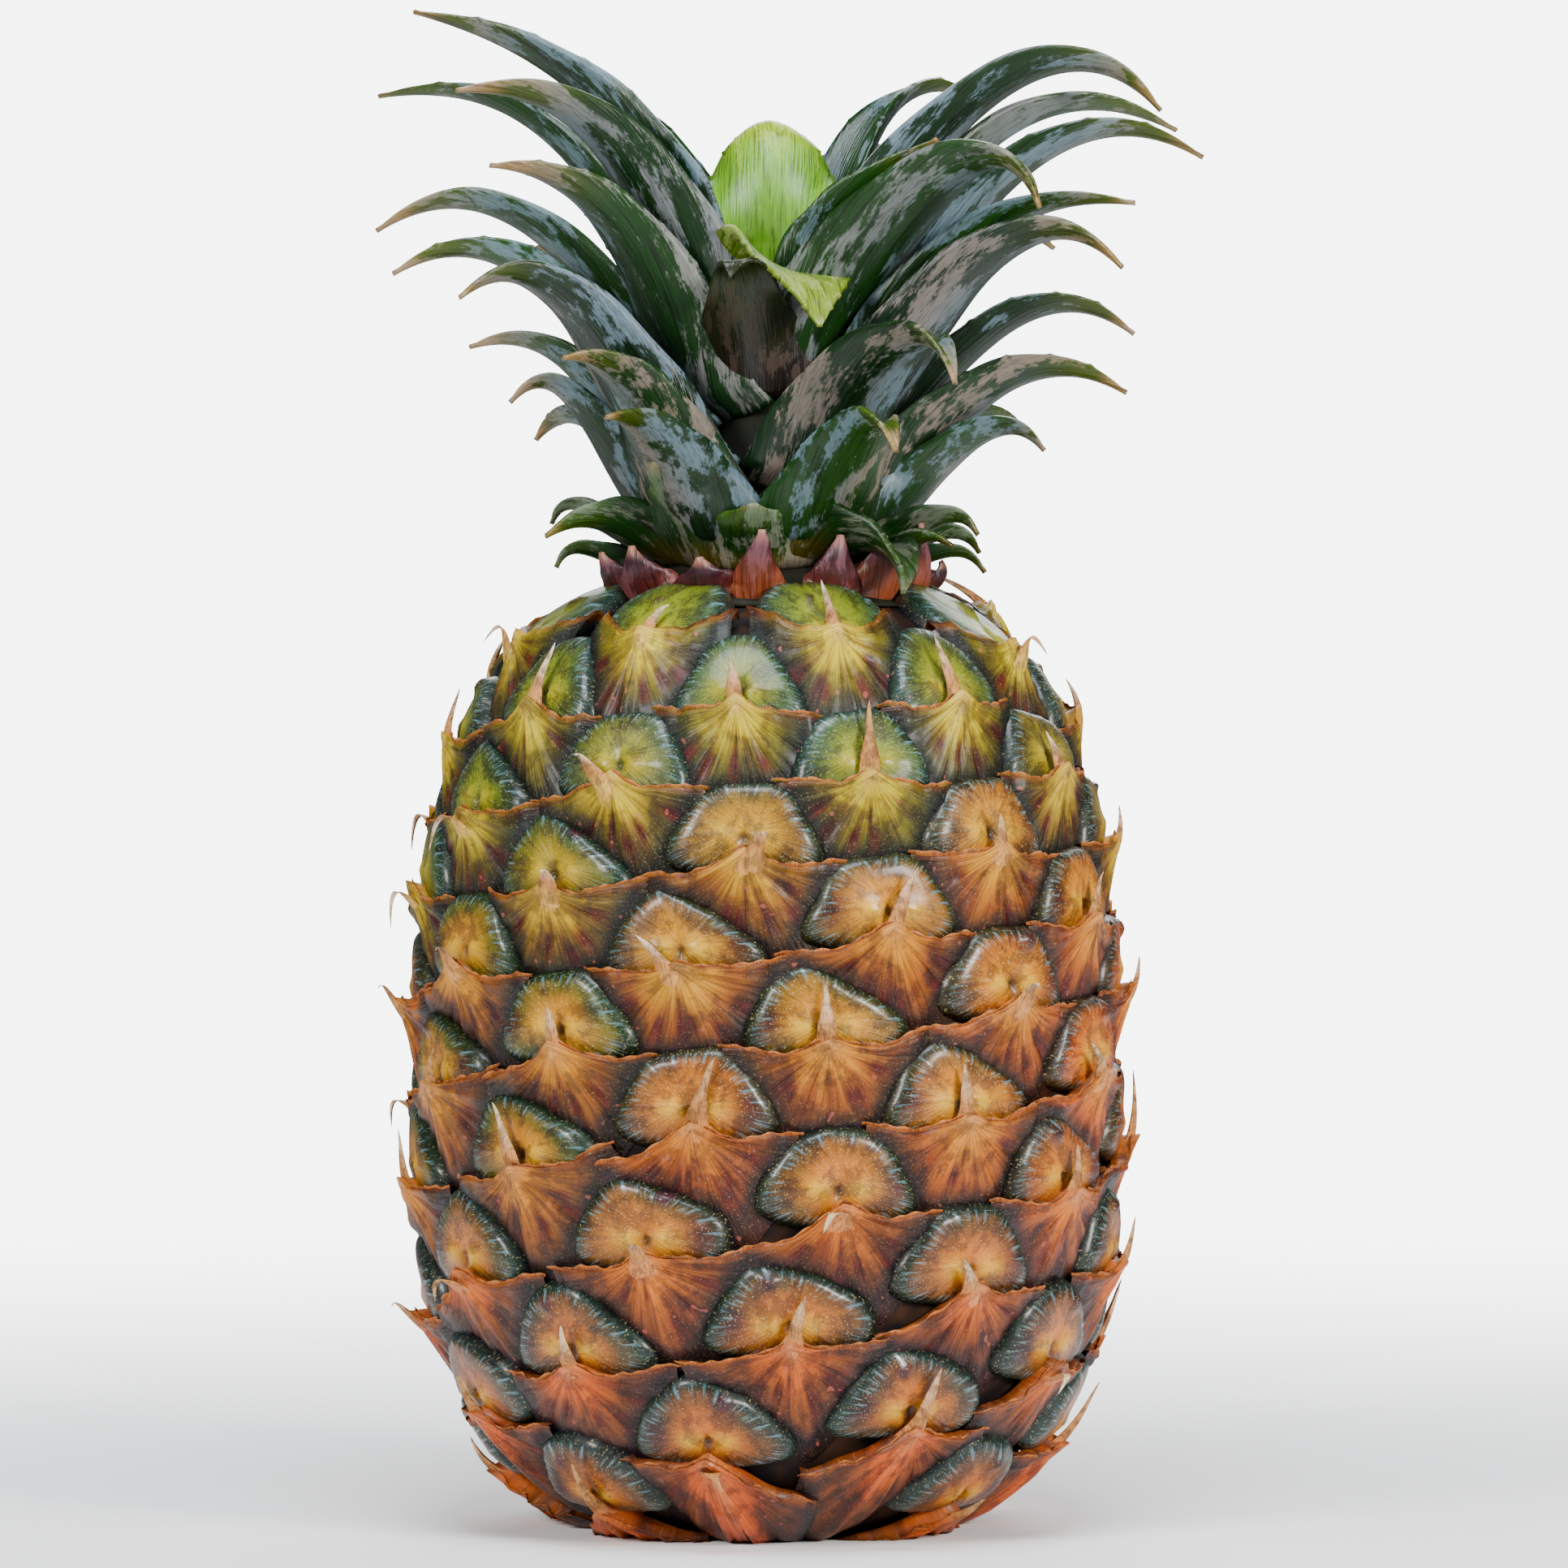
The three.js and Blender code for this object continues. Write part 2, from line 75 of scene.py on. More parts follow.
for name, place, size, power, tint in [
    ("lamp_left", (-0.75, -0.8, 0.6), 0.3, 14, (1.0, 0.98, 0.95)),
    ("lamp_right", (0.8, -0.75, 0.5), 0.3, 18, (1.0, 0.97, 0.93)),
    ("lamp_top", (0.0, -0.3, 0.95), 0.4, 11, (0.84, 0.92, 1.0)),
    ("lamp_back", (0.1, 0.8, 0.6), 0.6, 7, (0.95, 0.97, 1.0)),
]:
    bpy.ops.object.light_add(type='AREA', location=place)
    lamp = bpy.context.object
    lamp.name = name
    lamp.data.size = size
    lamp.data.energy = power
    lamp.data.color = tint
    aim(lamp, (0, 0, 0.13))

print("the lens is", camera.data.lens, "mm long")

# %% [markdown]
# The surround, the floor and the skins are made of nodes, and a few small helpers build and
# join them. The surround is pale. What the camera sees of it behind the fruit is brighter than
# the light that falls from it.

# %% Surround
def link(tree, source, target):
    tree.links.new(source, target)


def add_node(tree, kind, **settings):
    made = tree.nodes.new(kind)
    for key, value in settings.items():
        setattr(made, key, value)
    return made


def fresh_material(name):
    material = bpy.data.materials.new(name)
    material.use_nodes = True
    tree = material.node_tree
    return material, tree, tree.nodes["Principled BSDF"]


def between(tree, source, low, high, to_low=0.0, to_high=1.0):
    made = add_node(tree, 'ShaderNodeMapRange', interpolation_type='SMOOTHSTEP')
    link(tree, source, made.inputs["Value"])
    made.inputs["From Min"].default_value = low
    made.inputs["From Max"].default_value = high
    made.inputs["To Min"].default_value = to_low
    made.inputs["To Max"].default_value = to_high
    return made.outputs["Result"]


def wear(material, *pieces):
    for piece in pieces:
        piece.data.materials.append(material)
    print(material.name, "on", len(pieces), "pieces, the last one", pieces[-1].name)


world = bpy.data.worlds.new("surround")
world.use_nodes = True
tree = world.node_tree
surround = tree.nodes["Background"]
surround.inputs["Color"].default_value = (0.95, 0.97, 1.0, 1)
seen = add_node(tree, 'ShaderNodeLightPath').outputs["Is Camera Ray"]
link(tree, between(tree, seen, 0.0, 1.0, 0.21, 7.0), surround.inputs["Strength"])
bpy.context.scene.world = world
print("the surround has", len(tree.nodes), "nodes")

# %% [markdown]
# The floor is pale and matt. It fades out behind the fruit, so that it runs into the white
# surround without a horizon, as a curved paper backdrop does.

# %% Floor
bpy.ops.mesh.primitive_plane_add(size=4, location=(0, 0, 0))
floor = bpy.context.object
floor.name = "floor"
paint, tree, shader = fresh_material("floor_paint")
shader.inputs["Base Color"].default_value = (0.9, 0.9, 0.9, 1)
shader.inputs["Roughness"].default_value = 0.8
distance = add_node(tree, 'ShaderNodeVectorMath', operation='LENGTH')
link(tree, add_node(tree, 'ShaderNodeTexCoord').outputs["Object"], distance.inputs[0])
link(tree, between(tree, distance.outputs["Value"], 0.1, 0.75, 1.0, 0.0), shader.inputs["Alpha"])
wear(paint, floor)

# %% [markdown]
# The fruit's outline under its eyes is two rounded curves that meet at the widest place.
# We tabulate it by its length from the foot, because the eyes are laid out on the rind as if
# it were unrolled: so far round, so far up, and so far out from the body. All of it is worked
# out in millimetres and turned into metres at the very end.

# %% The rind, unrolled
BODY_RADIUS = 56.6
WIDEST_HEIGHT = 68
FOOT, HEAD = -2.9, 157.4
LOWER_REACH, UPPER_REACH = 71.0, 89.5
LOWER_FULLNESS, UPPER_FULLNESS = 2.6, 3.0
SEAT_RADIUS, SEAT_HEIGHT = 26.5, 153.9
HIGHEST_RIND = 160


def body_radius(z):
    above = z > WIDEST_HEIGHT
    share = np.abs(z - WIDEST_HEIGHT) / np.where(above, UPPER_REACH, LOWER_REACH)
    power = np.where(above, UPPER_FULLNESS, LOWER_FULLNESS)
    return BODY_RADIUS * np.clip(1 - share ** power, 0, 1) ** (1 / power)


row_heights = (HEAD + FOOT) / 2 - (HEAD - FOOT) / 2 * np.cos(np.linspace(0, math.pi, 1601))
row_radii = body_radius(row_heights)
steps = np.hypot(np.diff(row_radii), np.diff(row_heights))
row_lengths = np.concatenate([[0], np.cumsum(steps)])
outward_slope = np.gradient(row_radii, row_lengths)
upward_slope = np.gradient(row_heights, row_lengths)
FULL_LENGTH = row_lengths[-1]


def on_rind(across, length, rise):
    azimuth = across / BODY_RADIUS
    outward = np.interp(length, row_lengths, outward_slope)
    upward = np.interp(length, row_lengths, upward_slope)
    radius = np.interp(length, row_lengths, row_radii) + upward * rise
    height = np.interp(length, row_lengths, row_heights) - outward * rise
    height = np.clip(height, 0, np.where(radius < SEAT_RADIUS, SEAT_HEIGHT, HIGHEST_RIND))
    return np.stack([radius * np.sin(azimuth), -radius * np.cos(azimuth), height], axis=-1) * MM


print("outline length", round(FULL_LENGTH, 1), "mm")

# %% [markdown]
# The eyes stand on eight spiral rows. Along a row each eye is 23 degrees further round, and
# a row drops by one pitch in an eighth of a turn. Where each row starts was read from the
# photograph. Every eye also keeps its luck and how far it faces the riper side, on the right.

# %% Where the eyes are
ROW_PHASES = [17.6, 19.6, 9.4, 11.7, 3.8, 12.1, 5.0, 0.6]
STEP_ROUND = 23
EIGHTH_TURN = 45
TOP_ROW, BOTTOM_ROW = -1.2, 5.4
FIRST_ROW_HEIGHT, ROW_DROP, ROW_DROP_GROWTH = 133.3, 21.4, 0.62
SHOULDER_CROWDING = 2.55
LOWEST_EYE, HIGHEST_EYE = 5.5, 151
RIPE_SIDE = 15
NEARBY = 60

random = np.random.default_rng(7)
eyes = []
for index, phase in enumerate(ROW_PHASES):
    first = math.ceil(((TOP_ROW - index) * EIGHTH_TURN - phase) / STEP_ROUND)
    last = math.floor(((BOTTOM_ROW - index) * EIGHTH_TURN - phase) / STEP_ROUND)
    for step in range(first, last + 1):
        azimuth = phase + STEP_ROUND * step
        row = index + azimuth / EIGHTH_TURN
        drop = ROW_DROP * row + ROW_DROP_GROWTH * row * row
        height = FIRST_ROW_HEIGHT - drop - SHOULDER_CROWDING * min(row, 0) ** 2
        if height > HIGHEST_EYE or height < LOWEST_EYE:
            continue
        turn = azimuth % 360
        eyes.append({
            "at": np.array([math.radians(turn) * BODY_RADIUS, np.interp(height, row_heights, row_lengths)]),
            "height": height,
            "side": math.sin(math.radians(turn - RIPE_SIDE)),
            "squeeze": float(np.clip(BODY_RADIUS / body_radius(height), 1, 1.7)),
            "luck": random.random(8),
        })
print(len(eyes), "eyes")


def neighbours(eye):
    found = []
    for other in eyes:
        for turns in (-1, 0, 1):
            offset = other["at"] + np.array([turns * 2 * math.pi * BODY_RADIUS, 0]) - eye["at"]
            if 0.01 < np.hypot(*offset) < NEARBY:
                found.append(offset)
    return np.array(found)


def reach(eye, start, angles, sharpness):
    """How far it is from a point of the eye to the border of its field, in each direction."""
    rays = np.stack([np.cos(angles), np.sin(angles)])
    gain = eye["near"] @ rays
    room = ((eye["near"] ** 2).sum(1) / 2 - eye["near"] @ start)[:, None]
    closeness = np.where(gain > 1e-6, gain / room, 0) ** sharpness
    return closeness.sum(0) ** (-1 / sharpness)


for eye in eyes:
    eye["near"] = neighbours(eye)

# %% [markdown]
# Small tools for the many shaped pieces. A sheet starts as a flat grid, which gives it an even
# mesh and a UV map. Its copies are then bent by a formula of their own: u runs across the grid
# and v along it. Each point also stores its own tone, and its place on the piece in
# millimetres, so that fine texture keeps its real scale on a bent surface. A round piece
# starts as a ball, whose points are moved in the same way.

# %% Tools for shaped pieces
def read_points(piece):
    coords = np.empty(len(piece.data.vertices) * 3)
    piece.data.vertices.foreach_get("co", coords)
    return coords.reshape(-1, 3)


def ball(name, around, up):
    bpy.ops.object.select_all(action='DESELECT')
    bpy.ops.mesh.primitive_uv_sphere_add(segments=around, ring_count=up, radius=1)
    piece = bpy.context.object
    piece.name = name
    return piece, read_points(piece)


def move_points(piece, points):
    piece.data.vertices.foreach_set("co", points.ravel())
    piece.data.update()
    bpy.ops.object.shade_smooth()
    print(piece.name, "has", len(piece.data.polygons), "faces")


def flat_sheet(name, across, along, more_colours=()):
    bpy.ops.object.select_all(action='DESELECT')
    bpy.ops.mesh.primitive_grid_add(x_subdivisions=across, y_subdivisions=along, size=1)
    sheet = bpy.context.object
    sheet.name = name
    sheet.data.attributes.new("tone", 'FLOAT_COLOR', 'POINT')
    sheet.data.attributes.new("place", 'FLOAT_VECTOR', 'POINT')
    for label in more_colours:
        sheet.data.attributes.new(label, 'FLOAT_COLOR', 'POINT')
    coords = read_points(sheet)
    return sheet, coords[:, 0] + 0.5, coords[:, 1] + 0.5


def store_colour(mesh, label, colours):
    rgba = np.concatenate([np.clip(colours, 0, 1), np.ones((len(colours), 1))], axis=1)
    mesh.attributes[label].data.foreach_set("color", rgba.ravel())


def bent_copy(sheet, name, points, tone, x, y, seed):
    mesh = sheet.data.copy()
    piece = bpy.data.objects.new(name, mesh)
    bpy.context.collection.objects.link(piece)
    mesh.vertices.foreach_set("co", points.ravel())
    store_colour(mesh, "tone", tone)
    place = np.stack([x, y, np.full(len(x), seed)], axis=-1)
    mesh.attributes["place"].data.foreach_set("vector", place.ravel())
    mesh.update()
    return piece


def eye_copy(sheet, name, eye, x, y, rise, tone):
    """A bent copy that lies on the rind, measured from the middle of its eye."""
    points = on_rind(eye["at"][0] + x, eye["at"][1] + y, rise)
    return bent_copy(sheet, name, points, tone, x, y, 40 * eye["luck"][0])


def join_pieces(pieces, name):
    bpy.ops.object.select_all(action='DESELECT')
    for piece in pieces:
        piece.select_set(True)
    bpy.context.view_layer.objects.active = pieces[0]
    bpy.ops.object.join()
    joined = bpy.context.object
    joined.name = name
    bpy.ops.object.mode_set(mode='EDIT')
    bpy.ops.mesh.select_all(action='SELECT')
    bpy.ops.mesh.remove_doubles(threshold=1e-6)
    bpy.ops.object.mode_set(mode='OBJECT')
    bpy.ops.object.shade_smooth()
    print(name, "has", len(joined.data.polygons), "faces")
    return joined


def one_for_each(some_eyes, maker, across, along, name):
    """A sheet is bent by its maker for each eye, and the copies are joined to one piece."""
    sheet, u, v = flat_sheet(name + "_sheet", across, along)
    copies = [maker(sheet, u, v, eye, f"{name}_{i}") for i, eye in enumerate(some_eyes)]
    bpy.data.objects.remove(sheet)
    return join_pieces(copies, name)


def ease(low, high, value):
    share = np.clip((value - low) / (high - low), 0, 1)
    return share * share * (3 - 2 * share)


def mix(a, b, share):
    share = np.asarray(share)[..., None]
    return np.asarray(a) * (1 - share) + np.asarray(b) * share


DEPTH, RICHNESS = 0.66, 1.5


def colour(red, green, blue):
    """A paint for a colour as it looks, made deeper and richer, because soft light washes it out."""
    value = np.array([red, green, blue]) / 255
    paint = np.where(value <= 0.04045, value / 12.92, ((value + 0.055) / 1.055) ** 2.4)
    grey = paint @ [0.21, 0.72, 0.07]
    return np.clip(grey + (paint - grey) * RICHNESS, 0.001, 1) * DEPTH

# %% [markdown]
# The ripeness of an eye decides how its colours are mixed: green near the crown, orange and
# olive lower down, more orange on the right, brown at the foot. Three shares are worked out
# from its height and side, with a little luck in each. Each part of an eye has four paints, for
# a green eye, an orange one, an olive one and one at the foot.

# %% Ripeness
for eye in eyes:
    luck = eye["luck"]
    height = eye["height"] + 16 * (luck[0] - 0.5)
    eye["green"] = float(ease(90, 130, height - 6 * eye["side"]))
    eye["foot"] = float(ease(80, 20, height))
    eye["orange"] = float(np.clip(0.42 + 0.4 * eye["side"] + 0.7 * (luck[1] - 0.5), 0, 1))


def ripe(eye, paints):
    green, orange, olive, foot = [colour(*paint) for paint in paints]
    middle = mix(olive, orange, eye["orange"])
    return mix(mix(middle, foot, eye["foot"]), green, eye["green"])


print(sum(eye["green"] > 0.5 for eye in eyes), "of the eyes are green")

# %% [markdown]
# Under the eyes lies a body painted dark as shade. It shows only in the grooves, so a plain revolved form
# does.
# It starts as a ball whose points are moved onto the outline, which keeps its caps closed.

# %% The body under the eyes
BODY_RISE = 0.1
body, coords = ball("fruit_body", 96, 64)
azimuth = np.arctan2(coords[:, 0], -coords[:, 1])
length = (1 - np.arccos(np.clip(coords[:, 2], -1, 1)) / math.pi) * FULL_LENGTH
points = on_rind(azimuth * BODY_RADIUS, length, np.full(len(coords), BODY_RISE))
poles = np.abs(coords[:, 2]) > 0.99999
points[poles, 0:2] = 0
move_points(body, points)

# %% [markdown]
# A shield is the face of one small fruit: a D lying on its back, with a steep rounded shoulder
# all round, a slightly sunken middle, and low in it a pit between two raised lobes, painted pale
# as a highlight. It fills the upper half of its eye's field, so its outline is the softened border
# of that field held within a half ellipse. Its lower edge goes on under the bract, and next to
# the crown it reaches further up.

# %% Outline of a shield
HALF_WIDTH, UP, DOWN = 16.0, 15.5, 4.0
MIDDLE_UP = 4.4
CROWN_REACH = 10
SHIELD_SHARPNESS, SHIELD_SPREAD = 7, 1.1


def shield_rim(eye, turn):
    """The directions from the shield's middle to its rim, and the distances."""
    luck = eye["luck"]
    start = np.array([0.0, MIDDLE_UP])
    half_width = HALF_WIDTH * (0.96 + 0.08 * luck[2]) * eye["squeeze"]
    up = UP * (0.96 + 0.08 * luck[3]) + CROWN_REACH * float(ease(134, 144, eye["height"]))
    ellipse = np.stack([half_width * np.cos(turn), np.where(np.sin(turn) > 0, up, DOWN) * np.sin(turn)])
    spoke = ellipse - start[:, None]
    angles = np.arctan2(spoke[1], spoke[0])
    field = reach(eye, start, angles, SHIELD_SHARPNESS) * SHIELD_SPREAD
    border = (np.hypot(*spoke) ** -8 + field ** -8) ** (-1 / 8)
    wave = 0.02 * np.sin(5 * angles + 6 * luck[4]) + 0.01 * np.sin(9 * angles + 9 * luck[5])
    return angles, border * (1 + wave)


print("a shield is up to", 2 * HALF_WIDTH, "mm wide")

# %% [markdown]
# The colours of a shield run in rings: pale in the middle, richer round it, an uneven dark arc,
# then the rim and the painted shade of the groove. The two lobes carry a painted highlight, the
# pit is painted dark as shade, and some shields have a bruise on one side or a glossy bead near the top.

# %% Shields
PALE = [(140, 148, 70), (244, 158, 40), (214, 158, 52), (196, 122, 58)]
MID = [(80, 92, 34), (196, 112, 2), (118, 104, 18), (104, 66, 40)]
RIM = [(12, 44, 36), (60, 44, 12), (22, 42, 18), (16, 36, 30)]
ARC = [(62, 82, 58), (142, 86, 8), (66, 82, 20), (62, 58, 44)]
# Painted shade: the near black of the deep grooves, laid on shield edges, pits and bract borders.
GROOVE_SHADE = colour(4, 6, 18)
# A painted highlight for the two lobes.
LOBE_HIGHLIGHT = colour(255, 212, 130)
BRUISE = colour(66, 18, 30)
BEAD = colour(54, 10, 30)


def shield_copy(sheet, u, v, eye, name):
    luck = eye["luck"]
    angles, border = shield_rim(eye, -2 * math.pi * u - math.pi / 2)
    share = 1 - (1 - v) ** 1.6
    x = np.cos(angles) * border * share
    y = MIDDLE_UP + np.sin(angles) * border * share
    middle = x - luck[6] + 0.5
    pit = np.exp(-(middle ** 2 / 0.9 + (y - 3.0) ** 2 / 1.6))
    lobes = np.exp(-((np.abs(middle) - 3.0) ** 2 / 4.5 + (y - 3.2) ** 2 / 2.6))
    bead_x = 3.4 * np.sign(luck[4] - 0.5)
    bead = np.exp(-(((x - bead_x) ** 2 + (y - 10.2) ** 2) / 2.4) ** 2) * (luck[5] > 0.55)
    pleats = np.sin(angles * 31 + 9 * luck[7]) * ease(0.62, 0.9, share) * ease(1.0, 0.93, share)
    rise = -1.4 + 5.1 * np.sqrt(np.clip(1 - share ** 8, 0, 1))
    rise = rise - 0.45 * np.exp(-(share / 0.45) ** 2) - 0.2 * np.clip(3 - y, 0, 9)
    rise = rise - 1.0 * pit + 0.5 * lobes + 0.9 * bead + 0.09 * pleats
    tone = mix(ripe(eye, PALE), ripe(eye, MID), ease(0.15, 0.7, share))
    uneven = 0.35 + 0.4 * np.sin(angles * 2 + 9 * luck[3]) + 0.25 * np.sin(angles * 5 + 9 * luck[6])
    tone = mix(tone, ripe(eye, ARC), np.clip(ease(0.4, 0.66, share) * uneven, 0, 0.85))
    bruises = np.exp(-((np.abs(x) - 9.5) ** 2 / 8 + (y - 4) ** 2 / 10)) * (x * (luck[1] - 0.5) > 0)
    tone = mix(tone, BRUISE, np.clip(bruises * (0.9 - eye["green"]), 0, 0.8))
    tone = mix(tone, ripe(eye, RIM), ease(0.68, 0.84, share))
    # The lobes are lit with a painted highlight.
    tone = mix(tone, LOBE_HIGHLIGHT, 0.6 * lobes * (1 - 0.5 * eye["green"]))
    tone = mix(tone, BEAD, 0.9 * bead)
    # The outer edge and the pit are darkened with the groove's painted shade.
    tone = mix(tone, GROOVE_SHADE, np.clip(0.9 * pit + ease(0.93, 0.975, share), 0, 1))
    return eye_copy(sheet, name, eye, x, y, rise, tone)


shields = one_for_each(eyes, shield_copy, 64, 15, "shields")

# %% [markdown]
# A bract is the scale under the shield. It is highest along its free edge, where a keel runs
# into the spine, and sinks to the groove where the next shields push up from below. First come
# the free edge, which hangs between the two upper corners of the eye's field, and the cracks
# that open along the spokes of the dry skin.

# %% Edge and cracks of a bract
SPOKES = 60
FIELD_SHARPNESS = 30
PAST_CORNER, PAST_BORDER = 1.8, 5.4


def crack_share(u, v, luck):
    """A few cracks along the spokes, pointed at both ends: 0 for whole skin, 1 for open."""
    crack = np.zeros(len(u))
    for number in range(6):
        chance = (luck[number] * 7.3 + number * 0.37) % 1
        spoke = round(SPOKES * (0.14 + 0.72 * (number + chance) / 6))
        start = 0.26 + 0.2 * ((luck[number] * 13.7) % 1)
        lens = np.sin(np.clip((v - start) / (0.24 + 0.18 * chance), 0, 1) * math.pi)
        nearness = np.clip(1.9 - 0.8 * np.abs(u * SPOKES - spoke), 0, 1)
        crack = np.maximum(crack, lens * nearness * (chance > 0.15))
    return crack


def edge_rise(eye, x, span):
    """The height of a bract's free edge, which waves a little."""
    luck = eye["luck"]
    wave = 0.28 * np.sin(x * 0.9 + 9 * luck[4]) + 0.2 * np.sin(x * 1.7 + 9 * luck[5])
    return 4.6 - 2.1 * (np.abs(x) / span) ** 2.2 + wave * ease(2, 6, np.abs(x))


def edge_line(eye, share):
    """The free edge from the left corner at 0 to the right corner at 1, as x and y."""
    side = 2 * share - 1
    angle = np.where(side < 0, eye["left"], eye["right"])
    span = np.where(side < 0, eye["left_span"], eye["right_span"])
    x = np.abs(side) * span * np.cos(angle)
    y = np.abs(side) * span * np.sin(angle)
    arch = 1.3 * np.exp(-(x / 2.6) ** 2) - 0.9 * np.sin(np.abs(side) * math.pi) ** 1.5
    wave = 0.4 * np.sin(x * 0.4 + 9 * eye["luck"][6]) * np.abs(side) * (1 - np.abs(side)) * 4
    return x, y + arch + wave


for eye in eyes:
    for name, middle in (("left", math.pi), ("right", 0.0)):
        angles = middle + np.radians(np.linspace(-24, 24, 49))
        spans = reach(eye, np.zeros(2), angles, FIELD_SHARPNESS)
        best = int(np.argmax(spans))
        eye[name] = float(angles[best])
        eye[name + "_span"] = float(spans[best]) + 2.6
print("the free edges are", round(np.mean([e["left_span"] + e["right_span"] for e in eyes]), 1), "mm wide")

# %% [markdown]
# The bract's sheet is a fan of spokes from the spine's root to just past the border of the
# eye's field, from the left corner of the field, down and round to the right one. One more
# spoke on each side turns the free edge down towards the shield, so that no gap shows under it.
# Its paints spread from a bright root over a fan to darker wings and a dark low edge, and past that into the
# groove's painted shade.

# %% Bracts
ROOT = [(232, 214, 30), (255, 160, 16), (240, 172, 22), (236, 124, 34)]
FAN = [(110, 102, 20), (200, 114, 0), (150, 98, 12), (122, 72, 44)]
LOW = [(16, 32, 26), (66, 32, 14), (38, 30, 24), (46, 30, 38)]
WING = [(70, 76, 24), (138, 78, 6), (70, 70, 22), (76, 44, 48)]
PAPER = colour(158, 96, 62)
PAPER_LIGHT = colour(220, 164, 124)
SCAR = colour(240, 190, 156)
SLIT = colour(80, 26, 10)
CRACK = colour(84, 22, 12)


def bract_copy(sheet, u, v, eye, name):
    luck = eye["luck"]
    edge = np.clip((u - 1 / SPOKES) / (1 - 2 / SPOKES), 0, 1)
    from_edge = np.minimum(edge, 1 - edge)
    angles = eye["left"] + (2 * math.pi + eye["right"] - eye["left"]) * edge
    border = reach(eye, np.zeros(2), angles, FIELD_SHARPNESS)
    length = border + PAST_CORNER + (PAST_BORDER - PAST_CORNER) * ease(0, 0.12, from_edge)
    past = length * v - border
    x = np.cos(angles) * length * v
    y = np.sin(angles) * length * v
    line_y = edge_line(eye, np.where(edge < 0.5, -v, v) / 2 + 0.5)[1]
    straight = v * np.where(edge < 0.5, eye["left_span"] * math.sin(eye["left"]),
                            eye["right_span"] * math.sin(eye["right"]))
    y = y + (line_y - straight) * np.exp(-(from_edge / 0.09) ** 2)
    span = np.where(x < 0, eye["left_span"], eye["right_span"])
    low = 3.6 - 2.2 * np.clip(v * length / border, 0, 1.1) ** 1.4
    rise = low + (edge_rise(eye, x, span) - low) * np.exp(-(from_edge / 0.15) ** 2)
    rise = rise + 0.6 * np.exp(-(x / 1.6) ** 2) * (1 - v) + 1.1 * np.exp(-(v / 0.24) ** 2)
    bottom = np.radians(-90) - angles + 2 * math.pi
    ribs = 0.16 * np.sin(bottom * 17 + 9 * luck[2]) + 0.1 * np.sin(bottom * 29 + 9 * luck[3])
    slit = np.exp(-(x / 0.45) ** 2) * np.exp(-((y + 5.6) / 2.3) ** 2)
    crack = crack_share(u, v, luck)
    rise = rise + ribs * np.clip(v * (1 - v) * 4, 0, 1) - 0.5 * slit - 0.35 * crack
    rise = rise - 0.12 * np.clip(past + 1.5, 0, 9)
    turned = (u < 0.5 / SPOKES) | (u > 1 - 0.5 / SPOKES)
    rise = np.where(turned, np.minimum(rise - 1.8, 1.6), rise)
    y = np.where(turned, y - 0.4, y)
    tone = mix(ripe(eye, ROOT), ripe(eye, FAN), ease(0.16, 0.5, v))
    wing = ease(0.3, 0.85, np.abs(x) / span) * (0.55 + 0.4 * np.sin(x * 0.35 + 9 * luck[7]))
    tone = mix(tone, ripe(eye, WING), np.clip(wing, 0, 0.85))
    tone = mix(tone, ripe(eye, LOW), ease(-4.6, -0.6, past) * 0.9)
    tone = mix(tone, SCAR, 0.45 * np.exp(-(v / 0.1) ** 2))
    paper = np.exp(-(from_edge / 0.022) ** 2)
    tone = mix(tone, PAPER, 0.6 * paper)
    tone = mix(tone, SLIT, 0.85 * slit)
    tone = mix(tone, CRACK, 0.95 * crack)
    # Painted shade where the bract sinks into the groove past the border of its field.
    groove_shade = np.exp(-((past - 0.3) / 0.8) ** 2) + 0.4 * ease(0.3, 2.0, past)
    tone = mix(tone, GROOVE_SHADE, np.clip(groove_shade, 0, 1) * (1 - 0.7 * paper))
    return eye_copy(sheet, name, eye, x, y, rise, tone)


bracts = one_for_each(eyes, bract_copy, SPOKES, 14, "bracts")

# %% [markdown]
# The free edge of a bract is dry and thin as paper, torn and wavy, and lighter than the rest.
# It is a narrow ribbon that stands a little off the shield, so that it catches the light. The
# eyes that lie flat under the crown have none.

# %% Papery edges
EDGE_GREEN = colour(128, 112, 40)
HIGHEST_EDGE = 140


def ribbon_copy(sheet, u, v, eye, name):
    luck = eye["luck"]
    x, y = edge_line(eye, u)
    span = np.where(x < 0, eye["left_span"], eye["right_span"])
    fray = 0.5 + 0.25 * np.sin(x * 0.8 + 12 * luck[1]) + 0.25 * np.sin(x * 2.1 + 9 * luck[3])
    width = (0.1 + 0.6 * fray) * (0.3 + 0.7 * ease(1.0, 0.8, np.abs(2 * u - 1)))
    y = y - 0.35 + (0.35 + width) * v
    rise = edge_rise(eye, x, span) - 0.2 + 0.7 * v - 0.5 * v * v + 0.2 * v * np.sin(x * 0.9 + 9 * luck[2])
    rise = rise + 0.6 * np.exp(-(x / 1.6) ** 2)
    tone = mix(ripe(eye, FAN), PAPER, ease(0.0, 0.5, v))
    tone = mix(tone, PAPER_LIGHT, ease(0.5, 1.0, v) * 0.7 * fray)
    tone = mix(tone, EDGE_GREEN, 0.6 * eye["green"] * (1 - v))
    return eye_copy(sheet, name, eye, x, y, rise, tone)


edged = [eye for eye in eyes if eye["height"] < HIGHEST_EDGE]
paper_edges = one_for_each(edged, ribbon_copy, 72, 4, "paper_edges")

# %% [markdown]
# A spine grows out of the middle of each edge: wide and orange at the root, where it melts
# into the bract, then a thin dry blade that bends its own way. About half point up over their
# shield. The others lean to a side, curl or are folded down over the bract.

# %% Spines
DRY = colour(196, 146, 108)
TIP_BROWN, TIP_WHITE = colour(196, 156, 120), colour(250, 232, 210)


